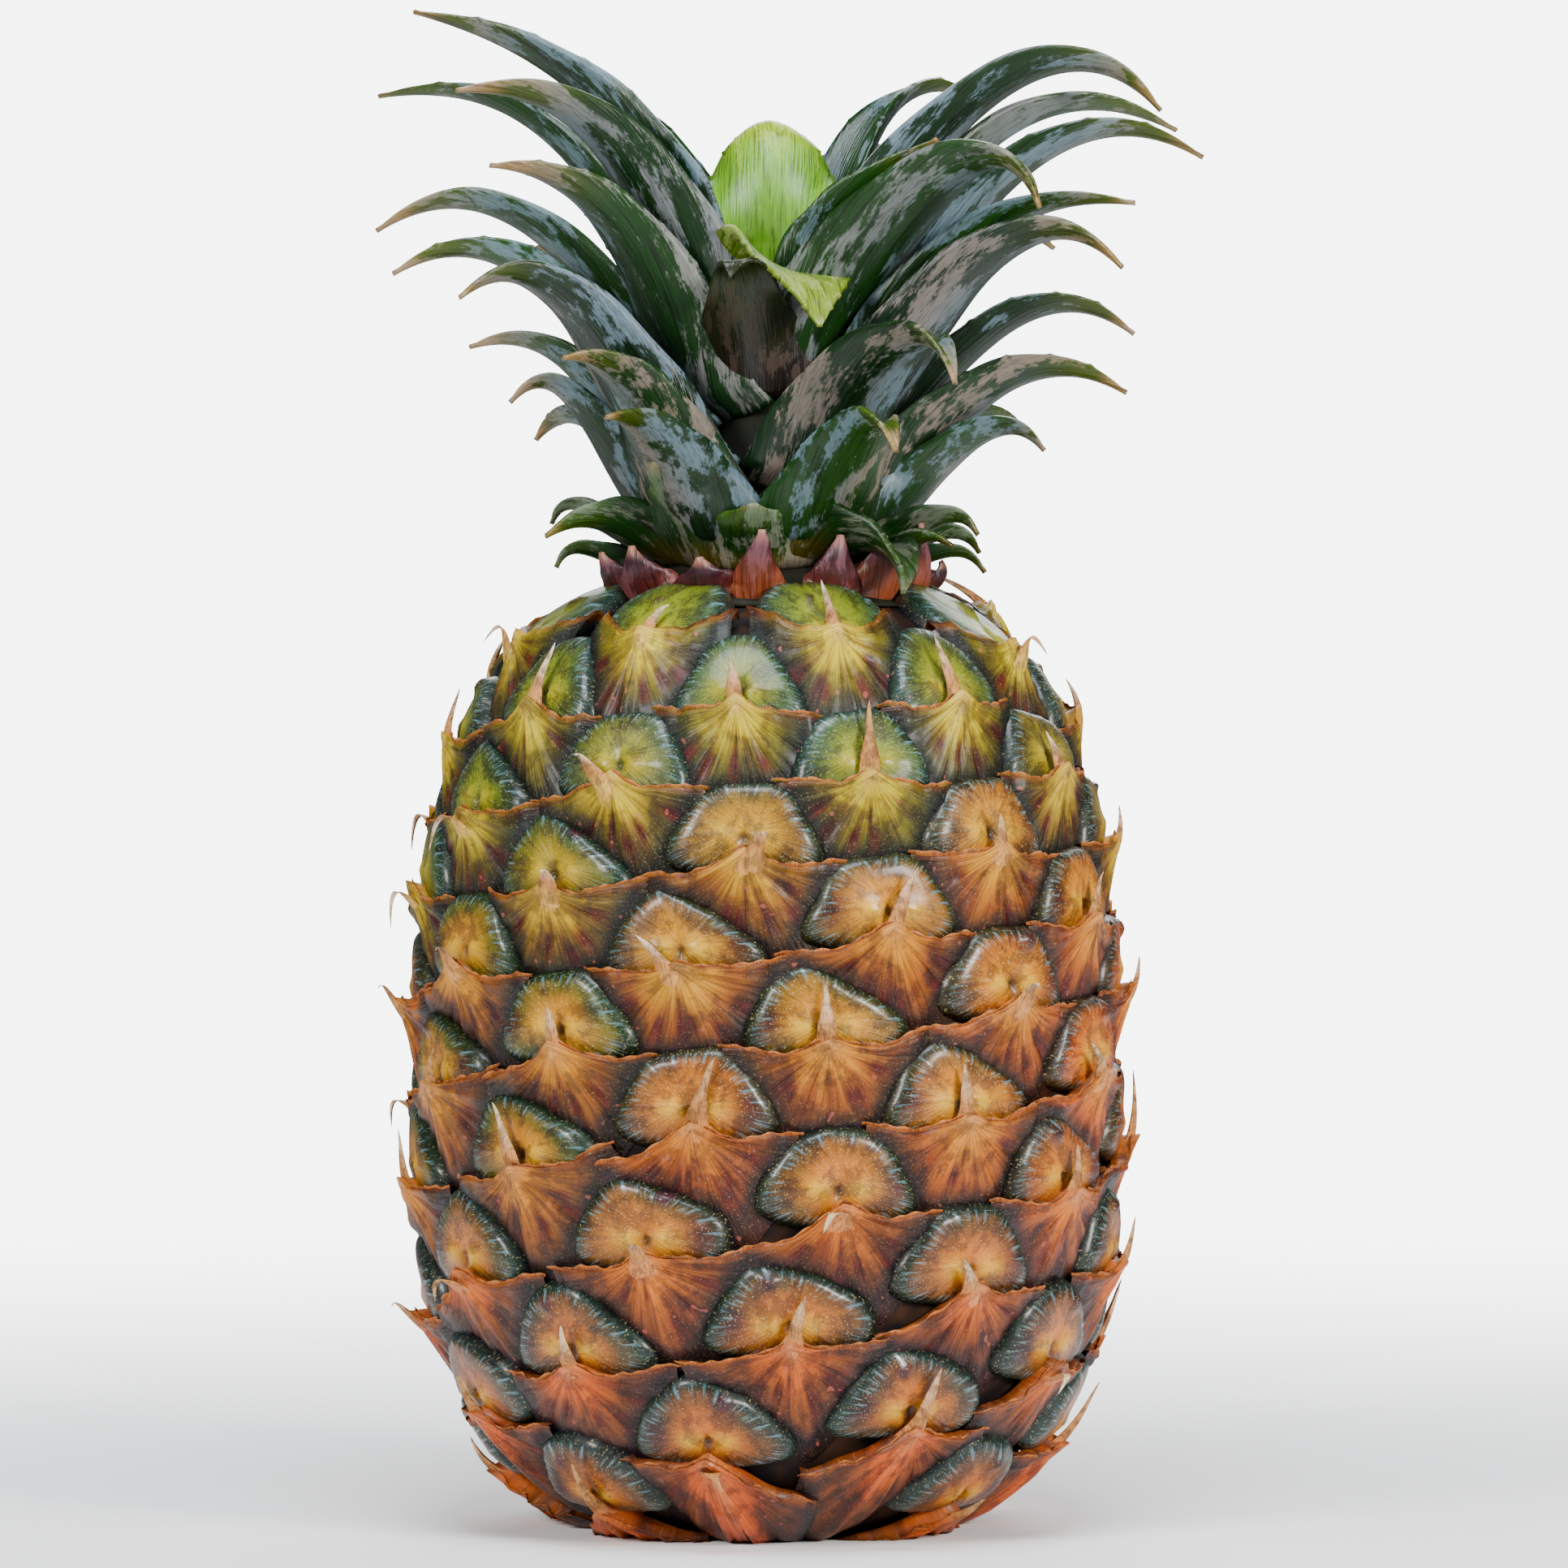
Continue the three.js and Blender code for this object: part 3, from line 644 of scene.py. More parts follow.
def bezier(a, b, c, d, t):
    """A curve through a and d, drawn towards b and c, and its direction."""
    t = t[:, None]
    curve = (1 - t) ** 3 * a + 3 * (1 - t) ** 2 * t * b + 3 * (1 - t) * t * t * c + t ** 3 * d
    along = 3 * (1 - t) ** 2 * (b - a) + 6 * (1 - t) * t * (c - b) + 3 * t * t * (d - c)
    return curve, along / np.linalg.norm(along, axis=1)[:, None]


def spine_line(luck):
    """The four points a spine bends along: up over the shield, sideways, curled or folded down."""
    lean = (luck[2] - 0.5) * 9
    long = 6.5 + 5.5 * luck[3]
    third = [lean * 0.4, long * 0.6, 4.8 + 1.5 * luck[5]]
    fourth = [lean, long, 4.6 + 2.4 * luck[6]]
    if luck[4] > 0.86:
        third, fourth = [lean * 0.5, 3.0, 9.6], [lean, -5.5 * luck[3] - 2, 8.2]
    elif luck[4] > 0.7:
        third, fourth = [lean * 1.4, 5.0, 8.2], [lean * 1.1, 2.6, 9.0]
    elif luck[4] > 0.5:
        third, fourth = [lean, 3.2, 6.4], [lean * 2.0, 5.4, 6.6]
    return np.array([[0, -5.0, 1.6], [0, -0.8, 6.4], third, fourth])


def spine_copy(sheet, u, v, eye, name):
    luck = eye["luck"]
    spine = bezier(*spine_line(luck), v)[0]
    width = (2.7 * (1 - v) ** 2.2 + 1.3 * (1 - v) ** 0.6 + 0.04) * eye["squeeze"] ** 0.5
    thick = 0.8 * (1 - v) ** 1.2 + 0.07
    turn = 2 * math.pi * u
    crease = 0.3 * (1 - v) * np.abs(np.cos(turn)) ** 0.7
    x = spine[:, 0] + width * np.cos(turn) * (1 + 0.14 * np.sin(v * 14 + 9 * luck[7]))
    y = spine[:, 1] - 0.25 * np.abs(width * np.cos(turn)) * (1 - v)
    rise = spine[:, 2] + thick * np.sin(turn) - 0.6 * width * np.abs(np.cos(turn)) ** 1.5 + crease
    root = mix(ripe(eye, ROOT), SCAR, 0.5 * ease(0.05, 0.25, v))
    tone = mix(root, DRY, ease(0.3, 0.5, v))
    tone = mix(tone, mix(TIP_BROWN, TIP_WHITE, luck[7]), ease(0.45, 0.9, v))
    return eye_copy(sheet, name, eye, x, y, rise, tone)


spines = one_for_each(eyes, spine_copy, 14, 18, "spines")

# %% [markdown]
# The crown. Every leaf follows one curve from its root on the stem, rising, then arching out
# and down, and its section is a channel that opens along the way. The table gives each leaf
# its azimuth, root height, the reach and height of its tip, its slope at root and tip, and its
# greatest width. The front ones were read from the photograph, the back ones made to match.

# %% Leaf table
LEAVES = [
    [178, 203, 26, 234, 86, -50, 28],
    [60, 204, 32, 232, 78, 30, 11],
    [20, 204.5, 27.5, 200, 84, -88, 22.5],
    [-105, 200, 62, 255, 68, 14, 20],
    [95, 198, 67, 238, 66, -48, 18],
    [144, 192, 58, 243, 68, -10, 18],
    [-142, 193, 60, 240, 66, -12, 18],
    [-72, 192.5, 54, 240, 70, -4, 20],
    [52, 190.5, 57, 219, 72, -66, 20],
    [-112, 189, 72, 242, 61, -8, 15],
    [108, 190.5, 74, 236, 62, -26, 15],
    [88, 184, 73, 229, 59, -32, 15],
    [-12, 188, 25, 208, 78, -84, 17],
    [160, 187, 60, 230, 64, -26, 18],
    [-66, 185, 50, 227, 65, 0, 18],
    [-165, 183, 62, 222, 62, -28, 18],
    [72, 182, 64, 221, 58, -6, 15],
    [-98, 182, 67, 218, 58, -34, 15],
    [128, 181, 62, 216, 58, -30, 16],
    [-130, 177, 60, 211, 56, -30, 17],
    [64, 177, 65, 210, 57, -44, 17],
    [-84, 177, 63, 210, 54, -30, 15],
    [94, 173.5, 62, 200, 49, -36, 14],
    [178, 175, 58, 204, 56, -34, 17],
    [32, 173, 58, 190, 58, -60, 18],
    [-60, 173, 58, 205, 50, -36, 17],
    [148, 171, 56, 196, 50, -36, 16],
    [-148, 170, 56, 194, 50, -36, 16],
    [-100, 169, 51, 198, 50, -14, 14],
    [80, 167, 61, 190, 50, -32, 15],
    [-44, 167, 47, 195, 50, -4, 17],
    [116, 166, 50, 183, 46, -40, 14],
    [-124, 164.5, 48, 183, 44, -42, 14],
    [-84, 164, 43, 188, 50, -48, 12],
    [26, 163.5, 49, 179, 46, -60, 16],
    [-34, 163.5, 46, 185, 46, -4, 17],
    [80, 163.5, 47, 180, 44, -52, 13],
    [168, 163.5, 46, 182, 46, -44, 15],
]

# %% [markdown]
# A leaf starts as a flat sheet, bent onto its curve. At its root it clasps the stem, so there
# its section is an arc of the stem's own radius, which opens into a shallow channel with a
# crease along its keel. Its sides ripple a little, some margins carry small teeth, and the
# last part is narrow and dry. The blade is thickened afterwards, so it has real edges.

# %% Leaf maker
LEAF_WIDEST = 0.28
STEM_FOOT, STEM_TOP = 159, 208
STEM_WIDE, STEM_NARROW = 17, 4.5


def stem_radius(z):
    share = np.clip((z - STEM_FOOT) / (STEM_TOP - STEM_FOOT), 0, 1)
    return STEM_WIDE + (STEM_NARROW - STEM_WIDE) * share


def leaf_points(leaf, u, v, gap, luck, teeth=0.0, clasp=1.55, flat=0.0):
    """The leaf's points and half widths. A flat of 1 has level sides, over 1 they droop."""
    azimuth, root, reach_out, tip, rise, fall, width = leaf
    start = np.array([stem_radius(root) + gap, root])
    end = np.array([reach_out, tip])
    pull = np.hypot(*(end - start)) * 0.42
    rise, fall, azimuth = math.radians(rise), math.radians(fall), math.radians(azimuth)
    second = start + pull * np.array([math.cos(rise), math.sin(rise)])
    third = end - pull * np.array([math.cos(fall), math.sin(fall)])
    curve, along = bezier(start, second, third, end, v)
    curve[:, 0] -= (gap + 0.7) * ease(0.06, 0.0, v)
    opening = np.clip(v / LEAF_WIDEST, 0, 1)
    taper = np.clip((1 - v) / (1 - LEAF_WIDEST), 0, 1) ** 0.85
    half = np.maximum(width / 2 * np.where(v < LEAF_WIDEST, clasp + (1 - clasp) * opening, taper), 0.3)
    side = 2 * u - 1
    inside = (v >= 1e-6) & (v <= 1 - 1e-6)
    teeth_here = ((np.round(v * 1000).astype(int) * 7919) % 5 == 0) & (np.abs(side) > 0.999) & inside
    radius = (stem_radius(root) + gap) * (1 - opening) + half / 0.85 * opening
    turn = np.clip(half / radius, 0, 1.35) * side
    across = radius * np.sin(turn) * (1 + 0.12 * opening)
    lift = radius * (1 - np.cos(turn)) * (1 + 0.15 * opening) + 0.16 * half * np.abs(side) * opening
    lift = lift * (1 - flat * ease(0.25, 0.55, v))
    lift = lift + 0.25 * np.sin(v * 22 + 9 * luck[0]) * np.abs(side) ** 3 * np.clip(half / 4, 0, 1)
    across = across + np.sign(side) * teeth_here * teeth * ease(0.06, 0.2, v)
    across = across + 0.9 * np.sin(v * 4 + 6 * luck[1]) * ease(0.3, 1.0, v)
    twist = -math.radians(28) * math.sin(azimuth) * opening
    out = np.array([math.sin(azimuth), -math.cos(azimuth), 0])
    level = np.array([math.cos(azimuth), math.sin(azimuth), 0])
    up = np.array([0, 0, 1])
    above = -along[:, 1:2] * out + along[:, 0:1] * up
    wide = level * np.cos(twist)[:, None] + above * np.sin(twist)[:, None]
    inward = above * np.cos(twist)[:, None] - level * np.sin(twist)[:, None]
    points = curve[:, 0:1] * out + curve[:, 1:2] * up
    return (points + wide * across[:, None] + inward * lift[:, None]) * MM, half


def leaf_piece(name, shape, skin, bloom, length, luck):
    """A leaf bent to its shape, which wears its skin's colour and its bloom's."""
    points, half = shape
    piece = bent_copy(sheet, name, points, skin, (2 * u - 1) * half, v * length, 60 * luck[5])
    store_colour(piece.data, "bloom", bloom)
    return piece


print("the stem's radius is", STEM_WIDE, "mm at its foot and", STEM_NARROW, "at its top")

# %% [markdown]
# Each leaf keeps its own luck: how dry its tip is, which side of its bloom is pinkish brown
# and which blue, how spiny its margin. Two colours are stored along the blade, the skin's own
# and that of the waxy bloom over it. The leaf at the back is painted a clear yellow green, as
# painted light shining through it from behind, and two of the folded ones in front have colours
# of their own as well.

# %% Crown leaves
LEAF_GAP = 1.85
FLAT = {1: 1.7, 3: 0.9, 13: 0.8}
BLOOM_LIGHT = 1.3


def leaf_colours(number, root, luck):
    dry = 0.86 + 0.1 * luck[3]
    young = ease(165, 200, root)
    skin = mix(colour(13, 26, 20), colour(50, 82, 34), float(luck[4] * 0.5) + 0.25 * v)
    skin = mix(skin, colour(96, 104, 44), ease(dry - 0.25, dry, v) * 0.5)
    skin = mix(skin, colour(168, 144, 112), ease(dry, dry + 0.08, v) * 0.8)
    far = u if luck[0] > 0.5 else 1 - u
    bloom = mix(colour(146, 164, 178), colour(172, 156, 148), ease(0.25, 0.75, far) * (1 - 0.6 * young))
    bloom = mix(bloom, colour(176, 146, 124), ease(dry - 0.2, dry + 0.05, v) * 0.7)
    # The leaf at the back is painted a clear yellow green as painted light shining through it.
    if number == 1:
        skin = mix(colour(132, 172, 30), colour(196, 204, 104), ease(0.5, 0.95, v))
        bloom = mix(colour(150, 186, 60), colour(220, 220, 160), ease(0.4, 0.9, v))
    elif number == 3:
        skin = mix(colour(96, 118, 60), colour(140, 158, 96), ease(0.2, 0.8, v))
        bloom = mix(colour(168, 180, 130), colour(200, 184, 150), ease(0.5, 1.0, v))
    elif number == 13:
        skin = mix(colour(26, 18, 14), colour(34, 42, 14), ease(0.1, 0.5, v))
        bloom = mix(colour(88, 72, 66), colour(52, 54, 30), v)
    return skin, bloom * BLOOM_LIGHT


leaf_random = np.random.default_rng(21)
sheet, u, v = flat_sheet("leaf_sheet", 14, 72, ["bloom"])
crown = []
for number, leaf in enumerate(LEAVES, start=1):
    luck = leaf_random.random(8)
    teeth = 0.35 if luck[2] > 0.6 else 0.0
    shape = leaf_points(leaf, u, v, LEAF_GAP, luck, teeth, flat=FLAT.get(number, 0.0))
    crown.append(leaf_piece(f"leaf_{number:02d}", shape, *leaf_colours(number, leaf[1], luck), 70, luck))
bpy.data.objects.remove(sheet)
print(len(crown), "crown leaves")

# %% [markdown]
# Round the crown's foot stand short green leaves, some of which hang over the fruit's
# shoulder. The wide ones in front close the stem between the large leaves, as they do on the
# real plant, and a long one hangs down on the right. Under them a ring of blunt maroon scales
# sits on the fruit itself. All of these are then thickened, and the large leaves too.

# %% Leaves of the crown's foot
FOOT_LEAVES = [
    [-66, 161, 40, 166, 30, -26, 15], [-38, 160.5, 30, 178, 56, 44, 21], [-6, 160, 25, 171, 66, 60, 22],
    [23, 161, 29, 179, 60, 44, 21], [41, 161, 35, 156, 38, -88, 18], [72, 160, 37, 166, 30, -60, 10],
    [100, 160, 36, 163, 22, -60, 9], [130, 160, 33, 167, 30, -60, 11], [160, 160, 32, 165, 34, -50, 14],
    [-170, 160, 33, 167, 30, -60, 13], [-136, 160, 34, 164, 30, -40, 11], [-104, 160, 37, 168, 26, -70, 8],
    [-88, 158.6, 35, 160.5, 8, -70, 7], [62, 158.8, 35, 164, 16, -30, 8], [88, 158.6, 37, 160, 10, -60, 6],
]
sheet, u, v = flat_sheet("small_leaf_sheet", 10, 28, ["bloom"])
scales = []
for number, leaf in enumerate(FOOT_LEAVES):
    luck = leaf_random.random(8)
    shape = leaf_points(leaf, u, v, 0.3, luck, clasp=1.0)
    skin = mix(colour(84, 74, 44), colour(30, 56, 24), ease(0.0, 0.3, v))
    skin = mix(skin, colour(70, 92, 40), ease(0.5, 0.8, v) * float(0.3 + 0.7 * luck[4]))
    skin = mix(skin, colour(160, 138, 100), ease(0.86, 0.97, v) * float(0.2 + 0.6 * luck[6]))
    bloom = mix(colour(170, 160, 150), colour(150, 166, 150), v) * float(0.8 + 0.5 * luck[3])
    scales.append(leaf_piece(f"foot_leaf_{number:02d}", shape, skin, bloom, 26, luck))
print(len(scales), "small leaves")

# %% Scales
SCALE_COUNT = 15
SCALE_ROOT = 153.2
for number in range(SCALE_COUNT):
    luck = leaf_random.random(8)
    azimuth = 360 / SCALE_COUNT * number + 12 * (luck[0] - 0.5) - 2
    tip_reach, tip_height = 26.6 + 3.0 * luck[1], 161.8 + 6.4 * luck[2]
    leaf = [azimuth, SCALE_ROOT, tip_reach, tip_height, 62, 120 - 70 * luck[6], 8.4 + 4.4 * luck[3]]
    shape = leaf_points(leaf, u, v, 7.2 + 0.8 * (number % 2), luck, clasp=0.85)
    skin = mix(colour(104, 56, 50), colour(54, 30, 38), ease(0.1, 0.8, v))
    skin = mix(skin, colour(146, 88, 70), float(luck[4] > 0.7) * ease(0.9, 0.2, v))
    skin = mix(skin, colour(206, 160, 142), ease(0.8, 1.0, v) * 0.7)
    bloom = mix(colour(176, 128, 124), colour(140, 96, 112), v)
    scales.append(leaf_piece(f"foot_scale_{number:02d}", shape, skin, bloom, 13, luck))
bpy.data.objects.remove(sheet)
print(len(scales), "small leaves and scales")

# %% Thickness
BLADE_THICKNESS = 0.9
for piece in crown + scales:
    select_only(piece)
    solid = piece.modifiers.new("thickness", 'SOLIDIFY')
    solid.thickness = BLADE_THICKNESS * MM
    solid.offset = 0
    solid.material_offset = 1
    solid.material_offset_rim = 2
    bpy.ops.object.modifier_apply(modifier=solid.name)
    bpy.ops.object.shade_smooth()
print("leaf_01 has", len(crown[0].data.polygons), "faces")

# %% [markdown]
# The crown's stem is nearly hidden by the leaves. It is a round body like the fruit's own, so
# it is made the same way: a ball whose rings are moved to the stem's heights and radii, with
# a wide collar at its foot that rests on the fruit.

# %% Crown stem
stem, coords = ball("crown_core", 48, 32)
share = 1 - np.arccos(np.clip(coords[:, 2], -1, 1)) / math.pi
stem_shares = [0, 1 / 32, 6 / 32, 31 / 32, 1]
ring = np.interp(share, stem_shares, [0, 28.5, STEM_WIDE, STEM_NARROW, 0])
height = np.interp(share, stem_shares, [154.0, 154.1, STEM_FOOT, STEM_TOP, 210.2])
turned = np.arctan2(coords[:, 1], coords[:, 0])
move_points(stem, np.stack([ring * np.cos(turned), ring * np.sin(turned), height], axis=-1) * MM)

# %% [markdown]
# Materials. The tone of each point gives the slow colour changes, and the nodes add what is
# too fine for the mesh. First come more small helpers for nodes.

# %% Material tools
def stored(tree):
    """The tone and the place that were stored with each point."""
    tone = add_node(tree, 'ShaderNodeAttribute', attribute_name="tone")
    place = add_node(tree, 'ShaderNodeAttribute', attribute_name="place")
    return tone.outputs["Color"], place.outputs["Vector"]


def axes(tree, source):
    made = add_node(tree, 'ShaderNodeSeparateXYZ')
    link(tree, source, made.inputs[0])
    return made.outputs


def scaled(tree, source, scale):
    made = add_node(tree, 'ShaderNodeVectorMath', operation='MULTIPLY')
    link(tree, source, made.inputs[0])
    made.inputs[1].default_value = scale
    return made.outputs[0]


def noise(tree, source, scale, size, detail=2.0, roughness=0.5):
    made = add_node(tree, 'ShaderNodeTexNoise')
    made.inputs["Scale"].default_value = size
    made.inputs["Detail"].default_value = detail
    made.inputs["Roughness"].default_value = roughness
    link(tree, scaled(tree, source, scale), made.inputs["Vector"])
    return made.outputs["Fac"]


def times(tree, first, second):
    made = add_node(tree, 'ShaderNodeMath', operation='MULTIPLY')
    for socket, value in zip(made.inputs, (first, second)):
        if isinstance(value, (int, float)):
            socket.default_value = value
        else:
            link(tree, value, socket)
    return made.outputs[0]


def blend_colour(tree, share, first, second, kind='MIX'):
    made = add_node(tree, 'ShaderNodeMix', data_type='RGBA', blend_type=kind)
    for socket, value in ((made.inputs[0], share), (made.inputs[6], first), (made.inputs[7], second)):
        if isinstance(value, (int, float)):
            socket.default_value = value
        elif isinstance(value, (tuple, list, np.ndarray)):
            socket.default_value = (*value[:3], 1)
        else:
            link(tree, value, socket)
    return made.outputs[2]


def bump(tree, height, strength, distance):
    made = add_node(tree, 'ShaderNodeBump')
    made.inputs["Strength"].default_value = strength
    made.inputs["Distance"].default_value = distance
    link(tree, height, made.inputs["Height"])
    return made.outputs["Normal"]


def set_gloss(shader, roughness=0.5, specular=0.5, coat=0.0, coat_roughness=0.03):
    shader.inputs["Roughness"].default_value = roughness
    shader.inputs["Specular IOR Level"].default_value = specular
    shader.inputs["Coat Weight"].default_value = coat
    shader.inputs["Coat Roughness"].default_value = coat_roughness


# %% [markdown]
# Three effects are used by more than one material, so each is a node group of its own. Mottle
# lays darker blotches over a tone, speckle scatters fine pale dots of wax, and fibres draws
# fine lines along the first direction of its place and gives their height as well.

# %% Shared groups
def start_group(name):
    group = bpy.data.node_groups.new(name, 'ShaderNodeTree')
    group.interface.new_socket("Tone", in_out='INPUT', socket_type='NodeSocketColor')
    group.interface.new_socket("Place", in_out='INPUT', socket_type='NodeSocketVector')
    group.interface.new_socket("Share", in_out='INPUT', socket_type='NodeSocketFloat')
    group.interface.new_socket("Color", in_out='OUTPUT', socket_type='NodeSocketColor')
    return group, group.nodes.new('NodeGroupInput').outputs


def use_group(tree, group, **values):
    made = tree.nodes.new('ShaderNodeGroup')
    made.node_tree = group
    for label, value in values.items():
        if isinstance(value, (int, float)):
            made.inputs[label].default_value = value
        else:
            link(tree, value, made.inputs[label])
    return made.outputs


def lay_over(group, given, amount, tint, kind):
    """A tinted tone over the given one, where the amount and the given share let it show."""
    result = group.nodes.new('NodeGroupOutput').inputs
    tinted = blend_colour(group, 1.0, given["Tone"], tint, kind)
    share = times(group, amount, given["Share"])
    link(group, blend_colour(group, share, given["Tone"], tinted), result["Color"])
    return result


mottle, given = start_group("mottle")
blotches = noise(mottle, given["Place"], (1, 1, 1), 0.24, 6.0, 0.62)
lay_over(mottle, given, between(mottle, blotches, 0.46, 0.6), (0.3, 0.26, 0.2), 'MULTIPLY')

speckle, given = start_group("speckle")
dots = noise(speckle, given["Place"], (1, 1, 1), 3.2, 2.0)
lay_over(speckle, given, between(speckle, dots, 0.6, 0.7), (0.42, 0.34, 0.16), 'SCREEN')

fibres, given = start_group("fibres")
fibres.interface.new_socket("Height", in_out='OUTPUT', socket_type='NodeSocketFloat')
lines = noise(fibres, given["Place"], (1, 1, 1), 1.0, 4.0)
result = lay_over(fibres, given, between(fibres, lines, 0.47, 0.66), (0.22, 0.15, 0.12), 'MULTIPLY')
link(fibres, lines, result["Height"])
print(len(bpy.data.node_groups), "shared groups")

# %% [markdown]
# The shield's skin is waxy. Over its tone lie dark blotches, faint radial lines, fine pale
# specks, and near the rim short strokes of pale blue, a painted glint where the wax shines, which
# is also glossier there. The strokes follow the UV map, whose u runs round the shield and whose v
# runs from its middle to its rim.

# %% Shield material
shield_skin, tree, shader = fresh_material("shield_skin")
tone, place = stored(tree)
around = add_node(tree, 'ShaderNodeUVMap').outputs["UV"]
radial = axes(tree, around)["Y"]
patched = use_group(tree, mottle, Tone=tone, Place=place, Share=0.8)["Color"]
streaks = use_group(tree, fibres, Tone=patched, Place=scaled(tree, around, (46, 3, 1)),
                    Share=between(tree, radial, 0.1, 0.4, 0.0, 0.6))
specked = use_group(tree, speckle, Tone=streaks["Color"], Place=place, Share=0.5)["Color"]
ring = times(tree, between(tree, radial, 0.46, 0.56), between(tree, radial, 0.76, 0.66))
wax_glints = times(tree, ring, between(tree, noise(tree, around, (90, 1.5, 1), 1.0, 2.0), 0.5, 0.64))
# Pale blue strokes near the rim, a painted glint of the shining wax.
glinted = blend_colour(tree, times(tree, wax_glints, 0.4), specked, (0.16, 0.32, 0.36))
link(tree, glinted, shader.inputs["Base Color"])
set_gloss(shader, 0.5, 0.3, 0.22, 0.16)
link(tree, between(tree, wax_glints, 0.0, 1.0, 0.45, 0.15), shader.inputs["Roughness"])
link(tree, bump(tree, streaks["Height"], 0.5, 0.0006), shader.inputs["Normal"])
wear(shield_skin, shields)

# %% [markdown]
# The bract's skin is drier. Broad dark rays spread from the spine's root between bright ones,
# with fine fibres on them, and a few small pink spots. The cracks are in the mesh itself.

# %% Bract material
bract_skin, tree, shader = fresh_material("bract_skin")
tone, place = stored(tree)
fan = axes(tree, add_node(tree, 'ShaderNodeUVMap').outputs["UV"])
seeded = add_node(tree, 'ShaderNodeCombineXYZ')
link(tree, fan["X"], seeded.inputs["X"])
link(tree, fan["Y"], seeded.inputs["Y"])
link(tree, axes(tree, place)["Z"], seeded.inputs["Z"])
patched = use_group(tree, mottle, Tone=tone, Place=place, Share=0.75)["Color"]
rays = between(tree, noise(tree, seeded.outputs[0], (15, 1.0, 1), 1.0, 2.0), 0.44, 0.62)
ray_share = times(tree, rays, between(tree, fan["Y"], 0.08, 0.35, 0.0, 0.8))
browned = blend_colour(tree, 1.0, patched, (0.45, 0.28, 0.2), 'MULTIPLY')
rayed = blend_colour(tree, ray_share, patched, browned)
fine = use_group(tree, fibres, Tone=rayed, Place=scaled(tree, seeded.outputs[0], (64, 2.4, 1)), Share=0.6)
specked = use_group(tree, speckle, Tone=fine["Color"], Place=place, Share=0.2)["Color"]
spots = between(tree, noise(tree, place, (1, 1, 1), 0.7, 0.0), 0.79, 0.82)
spotted = blend_colour(tree, times(tree, spots, 0.5), specked, (0.4, 0.09, 0.07))
link(tree, spotted, shader.inputs["Base Color"])
set_gloss(shader, 0.5, 0.25, 0.12, 0.25)
link(tree, bump(tree, fine["Height"], 0.7, 0.0007), shader.inputs["Normal"])
wear(bract_skin, bracts)

# %% [markdown]
# Edges and spines are dead tissue: matt and fibrous, stained brown in places. One material
# serves both, and its fine lines run along the piece.

# %% Paper material
paper_skin, tree, shader = fresh_material("paper_skin")
tone, place = stored(tree)
stained = use_group(tree, mottle, Tone=tone, Place=scaled(tree, place, (2, 2, 1)), Share=0.7)["Color"]
drawn = use_group(tree, fibres, Tone=stained, Place=scaled(tree, place, (4.2, 0.8, 1)), Share=0.6)
link(tree, drawn["Color"], shader.inputs["Base Color"])
set_gloss(shader, 0.6, 0.3)
link(tree, bump(tree, drawn["Height"], 0.5, 0.0004), shader.inputs["Normal"])
wear(paper_skin, paper_edges, spines)

# %% [markdown]
# The groove between the eyes is painted nearly black with a blue cast as painted shade, with brown
# patches here and there, and dull, so that it stays dark under the soft light.

# %% Groove material
# Painted shade: the body in the grooves is nearly black with a blue cast.
groove_shade_skin, tree, shader = fresh_material("groove_shade_skin")
coordinate = add_node(tree, 'ShaderNodeTexCoord')
spots = noise(tree, coordinate.outputs["Object"], (1, 1, 1), 300)
patches = noise(tree, coordinate.outputs["Object"], (1, 1, 1), 120)
dark = blend_colour(tree, spots, (0.001, 0.002, 0.005), (0.016, 0.009, 0.006))
lit = blend_colour(tree, spots, (0.012, 0.008, 0.004), (0.06, 0.022, 0.01))
link(tree, blend_colour(tree, between(tree, patches, 0.42, 0.62), dark, lit), shader.inputs["Base Color"])
set_gloss(shader, 0.7, 0.15)
wear(groove_shade_skin, body)

# %% [markdown]
# A leaf has two different faces. The outer one, which is below, wears a grey waxy bloom drawn
# in fine lines along the blade and rubbed off in dark green patches with ragged edges. The
# inner one is greener and glossier. The margin is a thin yellow-green line. Solidify gave
# each its own slot.

# %% Leaf materials
def leaf_material(name, bloom_share, gloss, cover_level):
    material, tree, shader = fresh_material(name)
    tone, place = stored(tree)
    bloom = add_node(tree, 'ShaderNodeAttribute', attribute_name="bloom").outputs["Color"]
    drawn = use_group(tree, fibres, Tone=tone, Place=scaled(tree, place, (2.8, 0.08, 1)), Share=0.7)
    patches = noise(tree, place, (0.26, 0.055, 0.3), 1.0, 12.0, 0.74)
    covered = between(tree, patches, cover_level, cover_level + 0.05)
    streaks = noise(tree, place, (2.6, 0.3, 1), 1.2, 4.0)
    cover = times(tree, covered, between(tree, streaks, 0.34, 0.56, bloom_share * 0.6, bloom_share))
    link(tree, blend_colour(tree, cover, drawn["Color"], bloom), shader.inputs["Base Color"])
    set_gloss(shader, 0.5, 0.35, 0.12, 0.3)
    link(tree, between(tree, covered, 0.0, 1.0, gloss, 0.5), shader.inputs["Roughness"])
    link(tree, bump(tree, drawn["Height"], 0.5, 0.0005), shader.inputs["Normal"])
    return material


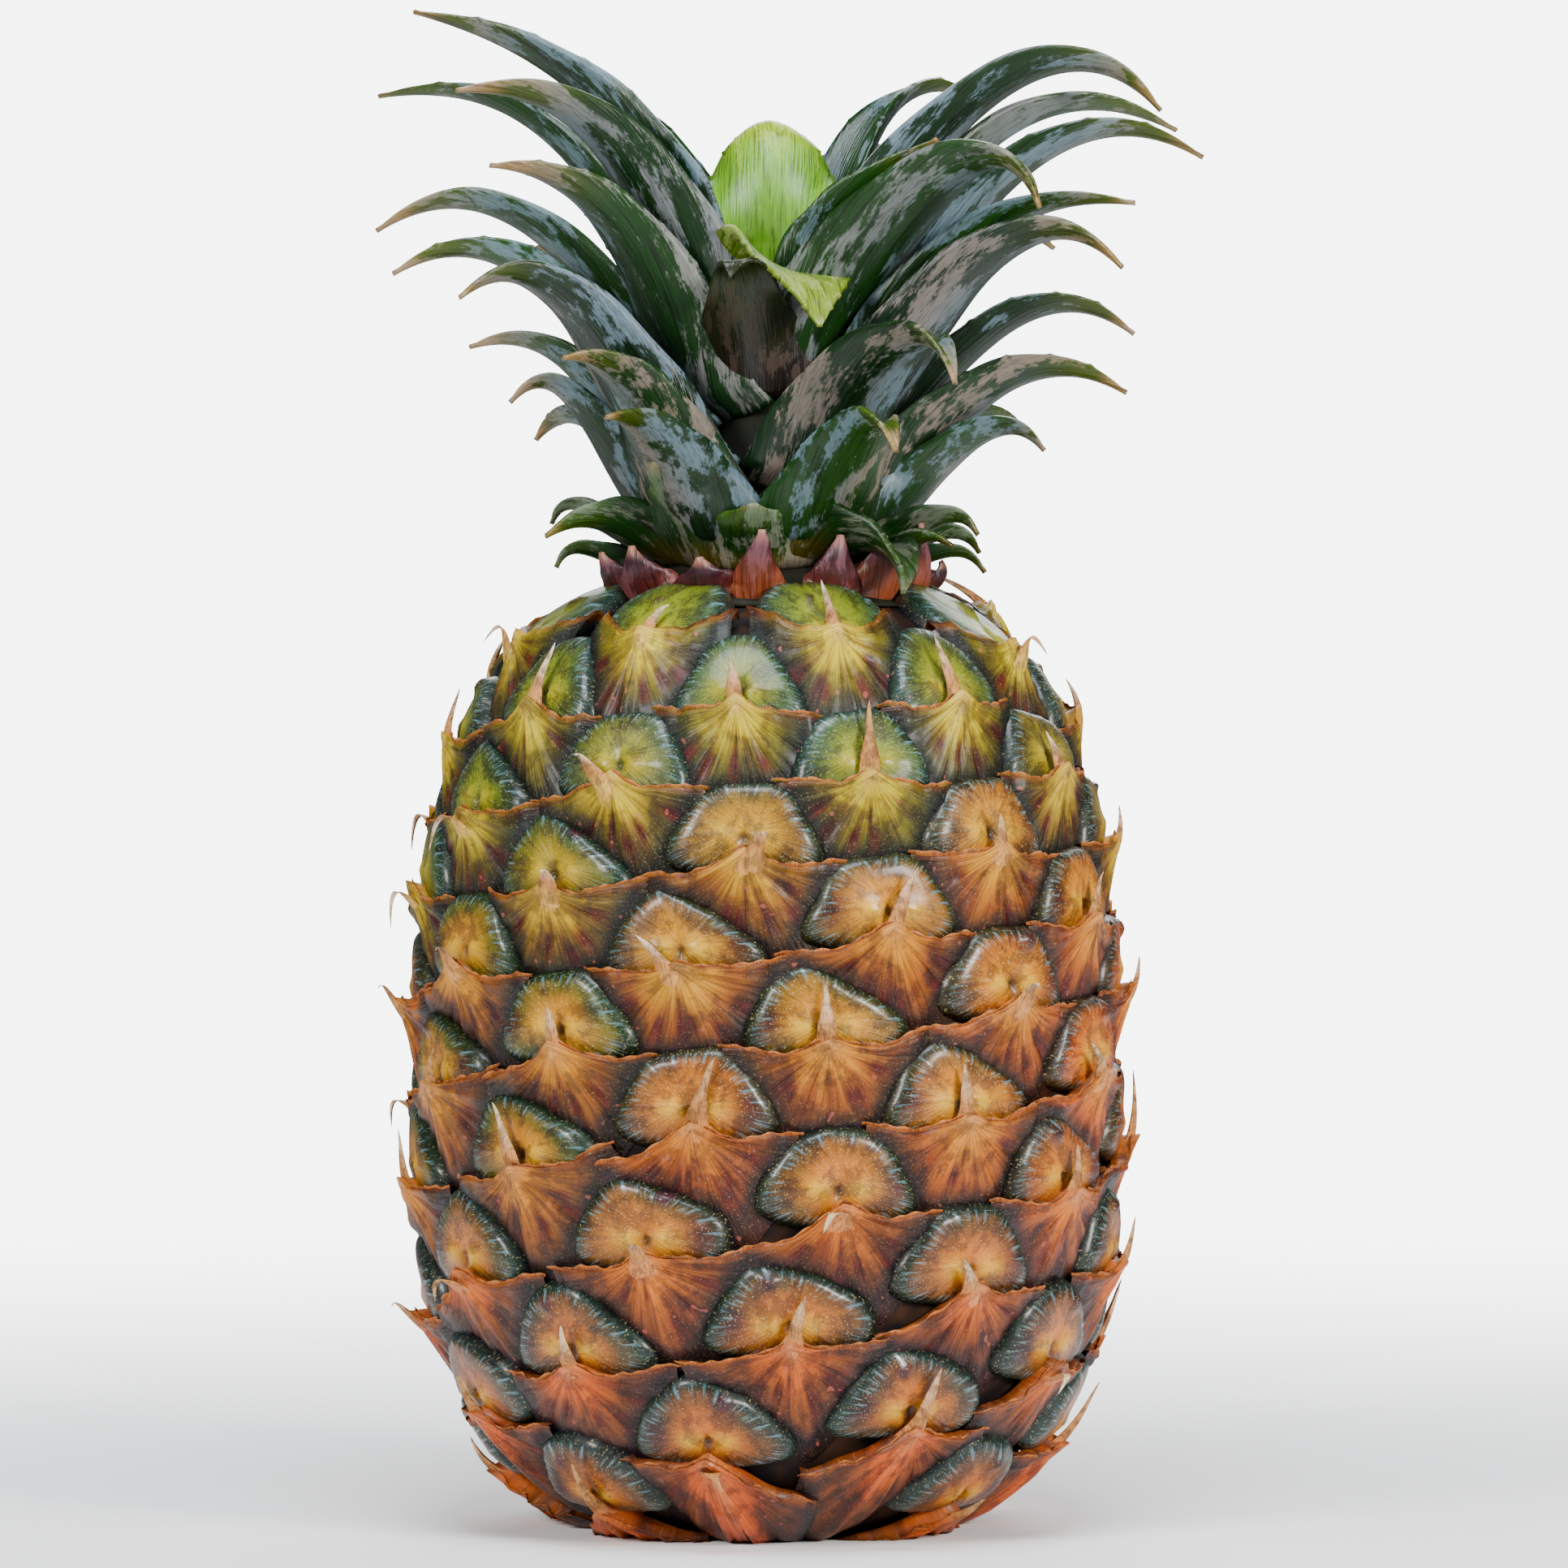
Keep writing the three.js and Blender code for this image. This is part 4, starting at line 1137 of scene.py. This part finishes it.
inner_face = leaf_material("leaf_inner", 0.4, 0.3, 0.5)
outer_face = leaf_material("leaf_outer", 0.95, 0.34, 0.385)
foot_face = leaf_material("foot_leaf_skin", 0.4, 0.36, 0.5)
margin, tree, shader = fresh_material("leaf_margin")
tone, place = stored(tree)
spots = between(tree, noise(tree, place, (1, 0.4, 1), 1.2, 2.0), 0.3, 0.7, 0.5, 0.95)
link(tree, blend_colour(tree, spots, tone, (0.26, 0.36, 0.08)), shader.inputs["Base Color"])
set_gloss(shader)
for material in (inner_face, outer_face, margin):
    wear(material, *crown)
for material in (foot_face, foot_face, margin):
    wear(material, *scales)

# %% [markdown]
# The stem between the leaves lies in their shade, so it is painted nearly black as that shade, over a dark
# green with brown fibres that run up it.

# %% Stem material
stem_skin, tree, shader = fresh_material("stem_skin")
coordinate = add_node(tree, 'ShaderNodeTexCoord')
grain = noise(tree, coordinate.outputs["Object"], (900, 900, 60), 1.0, 3.0)
# Painted shade: the stem is nearly black for the shade of the leaves over it.
shaded_bark = blend_colour(tree, grain, (0.003, 0.008, 0.003), (0.016, 0.014, 0.007))
link(tree, shaded_bark, shader.inputs["Base Color"])
set_gloss(shader, 0.7, 0.2)
wear(stem_skin, stem)

# %% [markdown]
# The cut end of the stem keeps its own shape, and gets the look of dry cut fibre: pale, with
# dark dots where the bundles of fibre end.

# %% Cut stem
fibre_end, tree, shader = fresh_material("cut_fibre")
coordinate = add_node(tree, 'ShaderNodeTexCoord')
dots = add_node(tree, 'ShaderNodeTexVoronoi')
dots.inputs["Scale"].default_value = 700
link(tree, coordinate.outputs["Object"], dots.inputs["Vector"])
dot_share = between(tree, dots.outputs["Distance"], 0.15, 0.4)
link(tree, blend_colour(tree, dot_share, (0.12, 0.07, 0.03), (0.5, 0.38, 0.22)), shader.inputs["Base Color"])
set_gloss(shader, 0.85)
cut_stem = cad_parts["cut_stem"]
cut_stem.data.materials.clear()
wear(fibre_end, cut_stem)

# %% [markdown]
# Last, every piece is tied to the one body of the object, and the solids that it stands for
# are hidden.

# %% Tie everything together
for piece in (body, shields, bracts, paper_edges, spines):
    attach(piece, "root")
    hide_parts("fruit")
for number, piece in enumerate(crown, start=1):
    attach(piece, "root")
    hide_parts(f"crown_leaf_{number:02d}")
for piece in [stem] + scales:
    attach(piece, "root")
    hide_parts("crown_stem")
